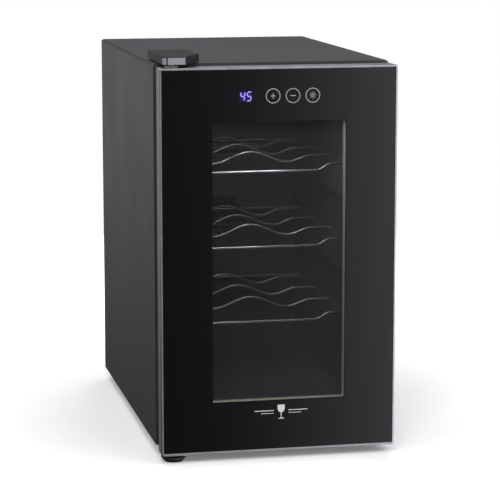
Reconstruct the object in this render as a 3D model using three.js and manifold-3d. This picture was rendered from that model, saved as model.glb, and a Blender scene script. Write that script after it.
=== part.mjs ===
// A small thermoelectric wine cooler with a left-hung double-glazed door, in millimetres.
//
// x runs to the right, y runs back from the door's front face, and z runs up from the floor.
// The last group moves the origin to the floor under the middle of the whole cooler.

import * as THREE from "three";
import { mergeVertices } from "three/addons/utils/BufferGeometryUtils.js";
import Module from "manifold-3d";

const wasm = await Module();
wasm.setup();

// ---- Driving dimensions -------------------------------------------------------------------

// The whole cooler
const width = 290;
const depth = 484; // door face to back panel
const cabinetHeight = 466.5; // underside to top, without the hinge cover
const legHeight = 14.5; // floor to the cabinet's underside
const gap = 0.3; // left between pieces that meet

// Cabinet
const sheet = 1; // painted steel
const sideWall = 34; // outside to the inside of the liner
const floorWall = 43;
const ceilingWall = 48;
const rearWall = 36; // foam between the liner's rear wall and the service space
const linerWall = 1.5;
const wrapCorner = 4;
const serviceRoom = 8; // hot fan to the back panel

// Door
const doorThickness = 35;
const sealGap = 9; // door back to the cabinet's front
const topReveal = 2.5; // cabinet top above door top
const bottomReveal = 3.5; // door bottom below the cabinet's underside
const trimLip = 2.5; // bright edge round the glass
const trimLedge = 8; // width of the rebate behind the glass
const trimLedgeDepth = 2;
const trimReveal = 1; // shadow line between the trim and the door frame
const paneThickness = 3.2;
const paneInset = 0.5; // glass behind the trim's front edge
const printThickness = 0.2;
const windowSide = 63.2; // printed border beside the clear window
const windowBottom = 62.5;
const windowTop = 64.5;
const spacerSetback = 0.4; // window's edge to the spacer behind the print
const spacerWidth = 9;
const cavity = 12; // between the two panes
const innerPaneThickness = 3;
const linerPanel = 5.7; // rear plate of the door
const hingeCorner = 13; // rounding of the door's rear corner at the hinge
const gasketWidth = 11;
const gasketOverlap = 3.5; // mouth of the liner to the gasket's inner edge
const gasketSlack = 0.5; // gasket to the cabinet's steel face
const swingRoom = 1.5; // gasket's outer edge to the hinge axis, so that it swings clear

// Hinge
const pinCover = 1.1; // frame's rear face to the bushing's pocket
const plate = 2.5;
const topPinRadius = 4;
const lowerPinRadius = 5;
const runningClearance = 0.1;
const bushingWall = 2;
const coverHeight = 11;
const coverWall = 1.5;
const coverLength = 114;
const coverFront = 2; // behind the door's front edge
const coverLift = 4; // door top to the cover's front skirt

// Feet
const footRadius = 15.5;
const footBevel = 4.5;
const stemLength = 15; // front feet's screws above their pads

// Racks
const rows = 4; // the lowest row of bottles lies on the floor of the liner
const wire = 2; // radius
const rackSetback = 36; // cabinet front to the racks' front bar
const rackBackRoom = 12; // racks' rear bar to the fan cover
const railInset = 4; // side rail to the liner wall
const railCorner = 17;
const frontDip = 7.5; // front bar below the rails, between its two bends
const dipStart = 25; // rail to the top of the bend
const dipRun = 17;
const waveSetback = 92; // front bar to the first wavy wire
const waveCount = 3;
const wavePeak = 6;
const waveValley = 8;
const waveShoulder = 27; // rail to the outer crest
const sideMargin = 9; // half of the pitch of the bottles, taken off the rail
const railRise = 11.4; // rail above the boundary between two rows
const guideHeight = 42;
const guideWidth = 8;

// Cold side and hot side
const coverSize = [140, 210];
const fanCoverWall = 2;
const fanCoverRoom = 2; // inside of the cover to the cold fan
const coldSinkSize = 80;
const coldSinkDepth = 15;
const coldFanSize = 60;
const coldFanDepth = 15;
const hotSinkSize = 120;
const hotSinkDepth = 20;
const hotFanSize = 92;
const hotFanDepth = 20;
const moduleSize = 40;
const moduleThickness = 3.6;

// Controls
const touchPitch = 24.2;
const firstTouch = -8.2;
const displayX = -41.2;
const controlHeight = 34.5; // door top to the line of controls

// ---- Places worked out from them ----------------------------------------------------------

const halfWidth = width / 2;
const cabinetFront = doorThickness + sealGap;
const cabinetTop = legHeight + cabinetHeight;
const doorTop = cabinetTop - topReveal;
const doorBottom = legHeight - bottomReveal;

const mouth = halfWidth - sideWall;
const linerFloor = legHeight + floorWall;
const linerCeiling = cabinetTop - ceilingWall;
const foamBack = depth - hotSinkDepth - hotFanDepth - serviceRoom;
const linerBack = foamBack - rearWall;
const flangeEdge = mouth + linerWall + 2 * gap;
const flangeTop = linerCeiling + linerWall + 2 * gap;
const flangeBottom = linerFloor - linerWall - 2 * gap;

const windowHalf = halfWidth - windowSide;
const windowLow = doorBottom + windowBottom;
const windowHigh = doorTop - windowTop;
const paneBack = paneInset + paneThickness;
const printBack = paneBack + 0.1 + printThickness;
const spacerFront = printBack + gap;
const trimDepth = spacerFront + trimLedgeDepth;
const innerPaneFront = spacerFront + cavity + gap;
const innerPaneBack = innerPaneFront + innerPaneThickness;
const paneEdge = spacerSetback + spacerWidth + 1.3; // inner pane beyond the window
const frameFront = trimDepth + trimReveal;
const frameBack = doorThickness - linerPanel - gap;
const bezel = 3; // door frame's sight edge beyond the window

const railX = mouth - railInset;
const rowPitch = (linerCeiling - linerFloor) / rows;
const rackFront = cabinetFront + rackSetback;
const coldFanBack = linerBack - coldSinkDepth;
const coldFanFront = coldFanBack - coldFanDepth;
const fanCoverFront = coldFanFront - fanCoverRoom - fanCoverWall;
const rackBack = fanCoverFront - rackBackRoom;
const valleyX = (railX - sideMargin) / 2;
const unitZ = (linerFloor + linerCeiling) / 2; // height of the cooling unit's axis

const pocketRadius = lowerPinRadius + runningClearance + bushingWall + gap;
const topPocket = topPinRadius + runningClearance + bushingWall + gap;
const hingeX = -(mouth + gasketOverlap + gasketWidth + swingRoom);
const hingeY = frameBack - pinCover - pocketRadius;

const controlZ = doorTop - controlHeight;

// ---- Shapes -------------------------------------------------------------------------------

const middle = ([low, high]) => (low + high) / 2;
const around = (centre, size) => [centre - size / 2, centre + size / 2];

function block(x, y, z) {
  const shape = new THREE.BoxGeometry(x[1] - x[0], y[1] - y[0], z[1] - z[0]);
  return shape.translate(middle(x), middle(y), middle(z));
}

// An outline with its own radius at each corner: low left, low right, high right, high left.
function outline(across, up, [a, b, c, d] = [0, 0, 0, 0], Kind = THREE.Shape) {
  const path = new Kind();
  const quarter = Math.PI / 2;
  path.moveTo(across[0] + a, up[0]);
  path.lineTo(across[1] - b, up[0]);
  if (b) path.absarc(across[1] - b, up[0] + b, b, -quarter, 0);
  path.lineTo(across[1], up[1] - c);
  if (c) path.absarc(across[1] - c, up[1] - c, c, 0, quarter);
  path.lineTo(across[0] + d, up[1]);
  if (d) path.absarc(across[0] + d, up[1] - d, d, quarter, 2 * quarter);
  path.lineTo(across[0], up[0] + a);
  if (a) path.absarc(across[0] + a, up[0] + a, a, 2 * quarter, 3 * quarter);
  return path;
}

const hole = (across, up, radii) => outline(across, up, radii, THREE.Path);

function roundHole(x, z, radius) {
  const path = new THREE.Path();
  return path.absarc(x, z, radius, 0, 2 * Math.PI, true);
}

// A shape drawn in x and z, as thick as y says.
function frontal(shape, y, curveSegments = 5) {
  const solid = new THREE.ExtrudeGeometry(shape, { depth: y[1] - y[0], bevelEnabled: false, curveSegments });
  return solid.rotateX(Math.PI / 2).translate(0, y[1], 0);
}

// A shape drawn in x and y, as tall as z says.
function plan(shape, z, curveSegments = 5) {
  const solid = new THREE.ExtrudeGeometry(shape, { depth: z[1] - z[0], bevelEnabled: false, curveSegments });
  return solid.translate(0, 0, z[0]);
}

// A plate in x and z with rectangular or round holes.
function panel(x, z, y, radii, holes = [], curveSegments = 5) {
  const shape = outline(x, z, radii);
  shape.holes.push(...holes);
  return frontal(shape, y, curveSegments);
}

function post(x, y, z, radius, sides = 24) {
  const shape = new THREE.CylinderGeometry(radius, radius, z[1] - z[0], sides);
  return shape.rotateX(Math.PI / 2).translate(x, y, middle(z));
}

function spindle(x, z, y, radius, sides = 24) {
  return new THREE.CylinderGeometry(radius, radius, y[1] - y[0], sides).translate(x, middle(y), z);
}

// A turned piece on a vertical axis. Each point is a radius and a height.
function turned(x, y, points, sides = 24) {
  const profile = points.map(([radius, z]) => new THREE.Vector2(radius, z));
  return new THREE.LatheGeometry(profile, sides).rotateX(Math.PI / 2).translate(x, y, 0);
}

// ---- Joining and cutting ------------------------------------------------------------------

function toSolid(geometry) {
  const bare = geometry.clone();
  bare.deleteAttribute("normal");
  bare.deleteAttribute("uv");
  const merged = mergeVertices(bare, 1e-4);
  return new wasm.Manifold(
    new wasm.Mesh({
      numProp: 3,
      vertProperties: Float32Array.from(merged.getAttribute("position").array),
      triVerts: Uint32Array.from(merged.getIndex().array),
    }),
  );
}

function toGeometry(solid) {
  const mesh = solid.getMesh();
  const geometry = new THREE.BufferGeometry();
  geometry.setAttribute("position", new THREE.BufferAttribute(Float32Array.from(mesh.vertProperties), 3));
  geometry.setIndex(new THREE.BufferAttribute(Uint32Array.from(mesh.triVerts), 1));
  geometry.computeVertexNormals();
  return geometry;
}

const join = (...pieces) => toGeometry(pieces.map(toSolid).reduce((all, next) => all.add(next)));
const subtract = (body, tool) => body.subtract(tool);
const cut = (body, ...tools) => toGeometry(tools.map(toSolid).reduce(subtract, toSolid(body)));
const common = (one, other) => toGeometry(toSolid(one).intersect(toSolid(other)));

// ---- Cabinet ------------------------------------------------------------------------------

const insideWrap = halfWidth - sheet - gap;
const insideOutline = [[-insideWrap, insideWrap], [legHeight + sheet + gap, cabinetTop - sheet - gap]];
const innerCorners = [0, 0, wrapCorner, wrapCorner];

// Two screws hold each hinge plate. The holes are cut in every piece that they pass through.
const topScrews = [
  { x: hingeX + 3, y: cabinetFront + 26 },
  { x: hingeX + 23, y: cabinetFront + 46 },
];
const lowerScrews = [
  { x: hingeX + 2, y: cabinetFront + 20 },
  { x: hingeX + 24, y: cabinetFront + 20 },
];
const screwRadius = 2.5;
const screwHole = screwRadius + gap;
const screwLength = 12;
const screwRoom = screwLength + 4;
const hingePlateZ = cabinetTop + gap;
const lowerPlateZ = legHeight - gap - plate;

const screwHoles = (screws) => screws.map(({ x, y }) => ({ x, y, radius: screwHole }));

// Vertical holes right through a piece.
function drilled(piece, holes) {
  const through = [-1, cabinetTop + coverHeight];
  return cut(piece, ...holes.map(({ x, y, radius }) => post(x, y, through, radius, 12)));
}

function outerWrap() {
  const corners = [0, 0, wrapCorner, wrapCorner];
  const inner = Math.max(wrapCorner - sheet, 0.5);
  const shell = cut(
    panel([-halfWidth, halfWidth], [legHeight, cabinetTop], [cabinetFront, depth], corners),
    panel(
      [-halfWidth + sheet, halfWidth - sheet],
      [legHeight - sheet, cabinetTop - sheet],
      [cabinetFront - sheet, depth + sheet],
      [0, 0, inner, inner],
    ),
  );
  const flange = cut(
    panel([-halfWidth, halfWidth], [legHeight, cabinetTop], [cabinetFront, cabinetFront + sheet], corners),
    block([-flangeEdge, flangeEdge], [cabinetFront - 1, cabinetFront + 2], [legHeight - 1, flangeTop]),
  );
  return drilled(join(shell, flange), screwHoles(topScrews));
}

function basePanel() {
  const tray = block(
    [-insideWrap, insideWrap],
    [cabinetFront + sheet + gap, depth - sheet - gap],
    [legHeight, legHeight + sheet],
  );
  const toe = block(
    [-flangeEdge + gap, flangeEdge - gap],
    [cabinetFront, cabinetFront + 2 * sheet],
    [legHeight, legHeight + sheet],
  );
  const upstand = block(
    [-flangeEdge + gap, flangeEdge - gap],
    [cabinetFront, cabinetFront + sheet],
    [legHeight, flangeBottom],
  );
  return drilled(join(tray, toe, upstand), [...screwHoles(lowerScrews), ...stems]);
}

const fanHole = hotFanSize / 2 + 3;
const inletX = halfWidth - 60;
const inletZ = legHeight + 52;
const inletCut = [28, 20.5];
const slot = [34, 4];
const slotPitch = [46, 11];
const slotRows = 4;
const slotColumns = 5;
const backScrewInset = 12;

// The back panel breathes through slots above and below the fan.
function backPanel() {
  const through = [depth - 2 * sheet, depth + sheet];
  const tools = [spindle(0, unitZ, through, fanHole, 32)];
  const reach = fanHole + 30;
  for (const start of [unitZ - reach - (slotRows - 1) * slotPitch[1], unitZ + reach]) {
    for (let row = 0; row < slotRows; row += 1) {
      for (let column = 0; column < slotColumns; column += 1) {
        const x = (column - (slotColumns - 1) / 2) * slotPitch[0];
        if (Math.abs(x) + slot[0] / 2 > insideWrap - backScrewInset) continue;
        tools.push(block(around(x, slot[0]), through, around(start + row * slotPitch[1], slot[1])));
      }
    }
  }
  tools.push(block(around(inletX, inletCut[0]), through, around(inletZ, inletCut[1])));
  for (const { x, z } of backScrews) tools.push(spindle(x, z, through, 1.8 + gap, 12));
  return cut(panel(...insideOutline, [depth - sheet, depth], innerCorners), ...tools);
}

const backScrews = [];
for (const side of [-1, 1]) {
  for (const z of [legHeight + backScrewInset, cabinetTop - backScrewInset]) {
    backScrews.push({ x: side * (insideWrap - backScrewInset / 2), z });
  }
}

// A pan-head screw along y, its head let into the panel's hole so that it stays inside the cooler's depth.
function backScrew({ x, z }) {
  const head = spindle(x, z, [depth - sheet, depth], 1.8, 10);
  return join(head, spindle(x, z, [depth - 9, depth - sheet + 0.1], 1.4, 10));
}

const coldHole = moduleSize + 2;

function insulation() {
  const front = cabinetFront + sheet + gap + linerWall + gap;
  const outer = panel(...insideOutline, [front, foamBack], innerCorners);
  const room = block(
    [-mouth - linerWall - gap, mouth + linerWall + gap],
    [cabinetFront - 1, linerBack + linerWall + gap],
    [linerFloor - linerWall - gap, linerCeiling + linerWall + gap],
  );
  const passage = block(around(0, coldHole), [linerBack, foamBack + 1], around(unitZ, coldHole));
  const pockets = [
    ...topScrews.map(({ x, y }) => post(x, y, [cabinetTop - screwRoom, cabinetTop], screwHole + 0.5, 12)),
    ...lowerScrews.map(({ x, y }) => post(x, y, [legHeight, legHeight + screwRoom], screwHole + 0.5, 12)),
    post(footX, frontFootY, [legHeight, legHeight + 22], 4.5, 12),
    block(around(0, lightWidth + 4), around(lightY, lightDepth + 4), [linerCeiling, linerCeiling + 9]),
  ];
  return cut(outer, room, passage, ...pockets);
}

const lightWidth = 70;
const lightDepth = 14;
const lightY = cabinetFront + 26;
const probe = { y: cabinetFront + 200, radius: 3, length: 24 };

function rackLevel(index) {
  return linerFloor + (index + 1) * rowPitch + railRise;
}

function innerLiner() {
  const outer = block(
    [-mouth - linerWall, mouth + linerWall],
    [cabinetFront, linerBack + linerWall],
    [linerFloor - linerWall, linerCeiling + linerWall],
  );
  const flange = block(
    [-mouth - 12, mouth + 12],
    [cabinetFront + sheet + gap, cabinetFront + sheet + gap + linerWall],
    [linerFloor - 12, linerCeiling + 12],
  );
  const room = block([-mouth, mouth], [cabinetFront - 1, linerBack], [linerFloor, linerCeiling]);
  const guides = [];
  for (let index = 0; index < rows - 1; index += 1) {
    const top = rackLevel(index) - wire - gap;
    for (const x of [[-mouth - 0.5, -mouth + guideWidth], [mouth - guideWidth, mouth + 0.5]]) {
      guides.push(block(x, [cabinetFront + 14, rackBack + 8], [top - guideHeight, top]));
    }
  }
  const ridgeY = around(cabinetFront + 90, 6);
  const ridge = block([-mouth + 12, mouth - 12], ridgeY, [linerFloor - 0.5, linerFloor + 2]);
  const shell = cut(
    join(outer, flange),
    room,
    block(around(0, coldHole), [linerBack - 1, linerBack + linerWall + 1], around(unitZ, coldHole)),
    block(around(0, lightWidth + 1), around(lightY, lightDepth + 1), [linerCeiling - 1, linerCeiling + 4]),
  );
  return join(shell, ...guides, ridge);
}

// ---- Cooling unit -------------------------------------------------------------------------

const hotSinkFront = foamBack + gap;
const hotFinBack = hotSinkFront + hotSinkDepth;
const hotFanFront = hotFinBack + gap;
const hotFanBack = hotFanFront + hotFanDepth;

function fanCover() {
  const [w, h] = coverSize;
  const outer = panel(around(0, w), around(unitZ, h), [fanCoverFront, linerBack - gap], [6, 6, 6, 6]);
  const room = panel(
    around(0, w - 2 * fanCoverWall),
    around(unitZ, h - 2 * fanCoverWall),
    [fanCoverFront + fanCoverWall, linerBack + 1],
    [4, 4, 4, 4],
  );
  const slots = [];
  const count = 7;
  for (let index = 0; index < count; index += 1) {
    const rise = (index - (count - 1) / 2) * 8;
    const length = 2 * Math.sqrt((coldFanSize / 2) ** 2 - rise ** 2);
    slots.push(block(around(0, length), [fanCoverFront - 1, fanCoverFront + 3], around(unitZ + rise, 4)));
  }
  for (const side of [-1, 1]) {
    const z = unitZ + side * (h / 2 - 16);
    slots.push(block(around(0, w - 40), [fanCoverFront - 1, fanCoverFront + 3], around(z, 5)));
  }
  return cut(outer, room, ...slots);
}

function finned(size, plateY, finY, count, finThickness) {
  const fins = [];
  for (let index = 0; index < count; index += 1) {
    const x = -size / 2 + finThickness / 2 + (index * (size - finThickness)) / (count - 1);
    fins.push(block(around(x, finThickness), finY, around(unitZ, size)));
  }
  return join(block(around(0, size), plateY, around(unitZ, size)), ...fins);
}

// An axial fan's square frame: its spokes and shaft are on the side that `back` says.
function fanFrame(size, y, shaftRadius) {
  const half = size / 2;
  const corner = Array(4).fill(3);
  const ring = panel(around(0, size), around(unitZ, size), y, corner, [roundHole(0, unitZ, half - 2)], 14);
  const spokeY = [y[1] - 2.5, y[1]];
  const spokes = [0, 1].map((turn) => {
    const spoke = block([-half + 1, half - 1], spokeY, [-1.5, 1.5]);
    return spoke.rotateY(Math.PI / 4 + (turn * Math.PI) / 2).translate(0, 0, unitZ);
  });
  const hub = spindle(0, unitZ, spokeY, half * 0.36, 20);
  const shaft = spindle(0, unitZ, [y[0] + 3, y[1] - 1], shaftRadius, 16);
  return join(ring, ...spokes, hub, shaft);
}

function fanRotor(size, y, shaftRadius, blades) {
  const half = size / 2;
  const hubRadius = half * 0.36;
  const hubY = [y[0] + 1.5, y[1] - 3.5];
  const bladeLength = half - 4 - hubRadius;
  const bladeHeight = (hubY[1] - hubY[0]) * 0.95;
  const pieces = [spindle(0, 0, hubY, hubRadius, 20)];
  for (let index = 0; index < blades; index += 1) {
    const reach = [hubRadius - 1.5, hubRadius + bladeLength];
    const blade = block(reach, around(0, 1.2), around(0, bladeHeight * 1.15));
    blade.rotateX((40 * Math.PI) / 180).translate(0, middle(hubY), 0);
    pieces.push(blade.rotateY((index * 2 * Math.PI) / blades));
  }
  const rotor = join(...pieces);
  const bore = spindle(0, 0, [hubY[0] + 1.2, hubY[1] + 1], shaftRadius + runningClearance, 16);
  return cut(rotor, bore).translate(0, 0, unitZ);
}

const coldShaft = 2;
const hotShaft = 2.5;

function fanGrille() {
  const y = [depth - sheet - gap - 2.4, depth - sheet - gap];
  const ring = (outer, inner) => {
    const shape = new THREE.Shape().absarc(0, unitZ, outer, 0, 2 * Math.PI);
    shape.holes.push(roundHole(0, unitZ, inner));
    return frontal(shape, y, 10);
  };
  const bars = [0, 1, 2].map((turn) => {
    const bar = block([-fanHole - 3, fanHole + 3], y, [-1.2, 1.2]);
    return bar.rotateY((turn * Math.PI) / 3).translate(0, 0, unitZ);
  });
  return join(ring(fanHole + 7, fanHole - 1), ring(32, 29.5), ring(16, 13.5), ...bars);
}

const boardThickness = 1.6;

function powerBoard() {
  const left = -halfWidth + 24;
  const front = foamBack + 9;
  const x = [left, left + 105];
  const z = [legHeight + 26, legHeight + 96];
  const y = [front, front + boardThickness];
  const on = (height) => [y[1] - 0.3, y[1] + height];
  const parts = [
    block(x, y, z),
    block([x[0] + 8, x[0] + 40], on(24), [z[0] + 8, z[0] + 38]), // transformer
    spindle(x[0] + 54, z[0] + 16, on(20), 7, 14), // capacitors
    spindle(x[0] + 72, z[0] + 16, on(20), 7, 14),
    block([x[0] + 50, x[0] + 54], on(22), [z[0] + 34, z[0] + 62]), // heat spreaders
    block([x[0] + 82, x[0] + 86], on(22), [z[0] + 34, z[0] + 62]),
    block([x[0] + 90, x[0] + 101], on(9), [z[0] + 8, z[0] + 30]), // terminal
  ];
  for (const px of [x[0] + 4, x[1] - 4]) {
    for (const pz of [z[0] + 4, z[1] - 4]) {
      parts.push(spindle(px, pz, [foamBack + gap, y[0] + 0.3], 2.5, 10));
    }
  }
  return join(...parts);
}

// An appliance inlet with three pins, its flange behind the back panel.
function powerInlet() {
  const back = depth - sheet - gap;
  const body = block(around(inletX, 27), [back - 26, back], around(inletZ, 19.5));
  const flange = block(around(inletX, 40), [back - 2, back], around(inletZ, 27));
  const socket = panel(around(inletX, 23.5), around(inletZ, 15.5), [back - 17, back + 1], [0, 0, 4, 4]);
  const pins = [[-7, -1.5], [0, 2.5], [7, -1.5]].map(([x, z]) =>
    block(around(inletX + x, 2), [back - 18, back - 3], around(inletZ + z, 4)),
  );
  return join(cut(join(body, flange), socket), ...pins);
}

function lightLens() {
  const room = [around(0, lightWidth - 3), around(lightY, lightDepth - 3)];
  return cut(
    block(around(0, lightWidth), around(lightY, lightDepth), [linerCeiling - 3, linerCeiling + 3]),
    block(...room, [linerCeiling - 1.5, linerCeiling + 4]),
  );
}

function lightBoard() {
  const z = [linerCeiling + 3.4, linerCeiling + 5];
  const pieces = [block(around(0, lightWidth - 2), around(lightY, lightDepth - 2), z)];
  for (const x of [-24, -8, 8, 24]) {
    pieces.push(block(around(x, 3.5), around(lightY, 3), [z[0] - 1.2, z[0] + 0.2]));
  }
  return join(...pieces);
}

function temperatureProbe() {
  const x = mouth - gap - 3.5;
  const z = linerCeiling - 26;
  const bulb = new THREE.CapsuleGeometry(probe.radius, probe.length - 2 * probe.radius, 4, 12);
  const clip = block([x - 1, mouth - gap], around(probe.y, 8), around(z, 9));
  return join(bulb.translate(x, probe.y, z), clip);
}

// ---- Feet ---------------------------------------------------------------------------------

const stemRadius = 3;
const footX = halfWidth - 24;
const frontFootY = cabinetFront + 40;
const rearFootY = depth - 26;
const stems = [
  { x: footX, y: frontFootY, radius: stemRadius + gap },
  { x: -footX, y: rearFootY, radius: stemRadius + gap },
  { x: footX, y: rearFootY, radius: stemRadius + gap },
];
const hingePlateLow = doorBottom - 0.9 - plate; // underside of the lower hinge plate

function foot(x, y, top, stemTop) {
  return turned(x, y, [
    [0, 0],
    [footRadius - footBevel, 0],
    [footRadius, Math.min(footBevel + 1, top - 1)],
    [footRadius, top],
    [stemRadius, top],
    [stemRadius, stemTop],
    [0, stemTop],
  ]);
}

// ---- Hinges -------------------------------------------------------------------------------

const hingeEdge = hingeX - 12;

function topHingeBracket() {
  const shape = new THREE.Shape();
  shape.moveTo(hingeEdge + 3, hingeY - 11);
  shape.lineTo(hingeX + 9, hingeY - 11);
  shape.lineTo(hingeX + 31, cabinetFront + 14);
  shape.lineTo(hingeX + 31, cabinetFront + 56);
  shape.lineTo(hingeEdge + 3, cabinetFront + 56);
  const holes = [{ x: hingeX, y: hingeY, radius: topPinRadius + gap }, ...screwHoles(topScrews)];
  return drilled(plan(shape, [hingePlateZ, hingePlateZ + plate]), holes);
}

function pan(x, y, z, radius, direction) {
  const head = radius * 1.9;
  const points = [
    [0, z - direction * screwLength],
    [radius, z - direction * screwLength],
    [radius, z],
    [head, z],
    [head * 0.8, z + direction * 2.2],
    [0, z + direction * 2.2],
  ];
  return turned(x, y, direction > 0 ? points : points.reverse(), 12);
}

function topHingePin() {
  const top = hingePlateZ + plate + gap;
  return turned(hingeX, hingeY, [
    [0, doorTop - 15],
    [topPinRadius, doorTop - 15],
    [topPinRadius, top],
    [topPinRadius + 2.5, top],
    [topPinRadius + 2.5, top + 1.5],
    [0, top + 1.5],
  ]);
}

// The cap over the top hinge: rounded at its front left corner, slanted at its front right.
function coverShape(inset) {
  const left = hingeX - 13 + inset;
  const front = coverFront + inset;
  const back = front - 2 * inset + coverLength;
  const round = 6 - inset;
  const slant = inset * 0.65;
  const shape = new THREE.Shape();
  shape.moveTo(left + round, front);
  shape.lineTo(hingeX + 14 - slant, front);
  shape.lineTo(hingeX + 37 - inset, cabinetFront - 3 + slant);
  shape.lineTo(hingeX + 37 - inset, back);
  shape.lineTo(left, back);
  shape.lineTo(left, front + round);
  shape.absarc(left + round, front + round, round, Math.PI, 1.5 * Math.PI);
  return shape;
}

function topHingeCover() {
  const low = doorTop + coverLift;
  const top = cabinetTop + coverHeight;
  return cut(
    plan(coverShape(0), [low, top]),
    plan(coverShape(coverWall), [low - 1, top - coverWall]),
    block([-halfWidth - 5, 0], [cabinetFront - gap, depth], [low - 1, hingePlateZ]),
  );
}

function lowerHingeBracket() {
  const [left, right] = [hingeX - 14, hingeX + 34];
  const tongue = outline([left, hingeX + 16], [hingeY - 11, cabinetFront + 3], [5, 5, 0, 0]);
  const webZ = [hingePlateLow, lowerPlateZ + plate];
  const web = block([left, hingeX + 16], [cabinetFront, cabinetFront + 3], webZ);
  const shelf = outline([left, right], [cabinetFront, cabinetFront + 36], [0, 0, 4, 4]);
  const pinHole = { x: hingeX, y: hingeY, radius: lowerPinRadius + gap };
  const whole = join(
    plan(tongue, [hingePlateLow, hingePlateLow + plate]),
    web,
    plan(shelf, [lowerPlateZ, lowerPlateZ + plate]),
  );
  return drilled(whole, [pinHole, ...screwHoles(lowerScrews)]);
}

const lowerPinTop = doorBottom + 15;

// The lower pin is hollow: the levelling foot screws up inside it.
function lowerHingePin() {
  const socket = stemRadius + gap;
  return turned(hingeX, hingeY, [
    [socket, hingePlateLow],
    [lowerPinRadius, hingePlateLow],
    [lowerPinRadius, lowerPinTop],
    [0, lowerPinTop],
    [0, lowerPinTop - 3],
    [socket, lowerPinTop - 3],
    [socket, hingePlateLow],
  ]);
}

function bushing(pinRadius, z, flangeZ) {
  const bore = pinRadius + runningClearance;
  const wall = bore + bushingWall;
  const brim = wall + 2;
  const [under, over] = flangeZ;
  const flange = [[brim, under], [brim, over]];
  const points = under > z[0]
    ? [[bore, z[0]], [wall, z[0]], [wall, under], ...flange, [bore, over]]
    : [[bore, under], ...flange, [wall, over], [wall, z[1]], [bore, z[1]]];
  return turned(hingeX, hingeY, [...points, points[0]]);
}

// ---- Door ---------------------------------------------------------------------------------

// The door's plan: the rear corner beside the hinge is well rounded so that it clears the cabinet.
function doorPlan(inset) {
  const across = [-halfWidth + inset, halfWidth - inset];
  return plan(
    outline(across, [0, doorThickness], [0, 0, 4, hingeCorner]),
    [doorBottom - 1, doorTop + 1],
    8,
  );
}

const grip = { width: 12, depth: 17, length: 120 };

// A finger recess in the rear edge of the side away from the hinge.
function gripTool() {
  const shape = outline(
    [halfWidth - grip.width, halfWidth + 5],
    [doorThickness - grip.depth, doorThickness + 5],
    [8, 0, 0, 0],
  );
  return plan(shape, around((doorTop + doorBottom) / 2, grip.length));
}

const ring = (half, low, high, radii) => hole([-half, half], [low, high], radii);
const trimInner = (margin) => ring(halfWidth - margin, doorBottom + margin, doorTop - margin);

function frontTrim() {
  const across = [-halfWidth, halfWidth];
  const up = [doorBottom, doorTop];
  const corners = Array(4).fill(2);
  return join(
    panel(across, up, [0, spacerFront], corners, [trimInner(trimLip)]),
    panel(across, up, [spacerFront - 0.1, trimDepth], corners, [trimInner(trimLedge)]),
  );
}

const paneMargin = trimLip + gap;

function outerGlass() {
  return block(
    [-halfWidth + paneMargin, halfWidth - paneMargin],
    [paneInset, paneBack],
    [doorBottom + paneMargin, doorTop - paneMargin],
  );
}

function glassPrint() {
  return panel(
    [-halfWidth + paneMargin, halfWidth - paneMargin],
    [doorBottom + paneMargin, doorTop - paneMargin],
    [printBack - printThickness, printBack],
    undefined,
    [ring(windowHalf, windowLow, windowHigh, Array(4).fill(1.5))],
  );
}

function glazingSpacer() {
  const inner = spacerSetback;
  const outer = spacerSetback + spacerWidth;
  return panel(
    [-windowHalf - outer, windowHalf + outer],
    [windowLow - outer, windowHigh + outer],
    [spacerFront, spacerFront + cavity],
    undefined,
    [ring(windowHalf + inner, windowLow - inner, windowHigh + inner)],
  );
}

function innerGlass() {
  return block(
    [-windowHalf - paneEdge, windowHalf + paneEdge],
    [innerPaneFront, innerPaneBack],
    [windowLow - paneEdge, windowHigh + paneEdge],
  );
}

const boardSize = [124, 32];
const boardX = 5;

function doorFrame() {
  const slab = panel(
    [-halfWidth + gap, halfWidth - gap],
    [doorBottom + gap, doorTop - gap],
    [frameFront, frameBack],
    undefined,
    [ring(windowHalf + bezel, windowLow - bezel, windowHigh + bezel)],
  );
  const rebate = block(
    [-windowHalf - paneEdge - gap, windowHalf + paneEdge + gap],
    [0, innerPaneBack + gap],
    [windowLow - paneEdge - gap, windowHigh + paneEdge + gap],
  );
  const boardPocket = block(
    around(boardX, boardSize[0] + 6),
    [0, frameFront + 8],
    around(controlZ, boardSize[1] + 6),
  );
  return cut(
    common(slab, doorPlan(gap)),
    rebate,
    boardPocket,
    gripTool(),
    post(hingeX, hingeY, [doorTop - 17, doorTop + 1], topPocket, 24),
    post(hingeX, hingeY, [doorBottom - 1, lowerPinTop + 2], pocketRadius, 24),
  );
}

function doorLiner() {
  const slab = panel(
    [-halfWidth + gap, halfWidth - gap],
    [doorBottom + gap, doorTop - gap],
    [frameBack + gap, doorThickness],
    undefined,
    [ring(windowHalf + bezel, windowLow - bezel, windowHigh + bezel)],
  );
  return cut(common(slab, doorPlan(gap)), gripTool());
}

function doorGasket() {
  const inner = gasketOverlap;
  const outer = gasketOverlap + gasketWidth;
  return panel(
    [-mouth - outer, mouth + outer],
    [linerFloor - outer, linerCeiling + outer],
    [doorThickness + gap, cabinetFront - gasketSlack],
    Array(4).fill(4),
    [ring(mouth + inner, linerFloor - inner, linerCeiling + inner, Array(4).fill(1))],
  );
}

const boardFront = frameFront + 1.4;

function controlBoard() {
  const y = [boardFront, boardFront + boardThickness];
  const chip = block(around(boardX + 20, 12), [y[1] - 0.2, y[1] + 1.4], around(controlZ, 12));
  const plug = block(around(boardX - 50, 10), [y[1] - 0.2, y[1] + 4], around(controlZ, 16));
  return join(block(around(boardX, boardSize[0]), y, around(controlZ, boardSize[1])), chip, plug);
}

function displayModule() {
  return block(around(displayX, 19), [spacerFront, boardFront - gap], around(controlZ, 14.5));
}

function touchPad(index) {
  return spindle(firstTouch + index * touchPitch, controlZ, [spacerFront, boardFront - gap], 7.5, 20);
}

// ---- Racks --------------------------------------------------------------------------------

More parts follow.
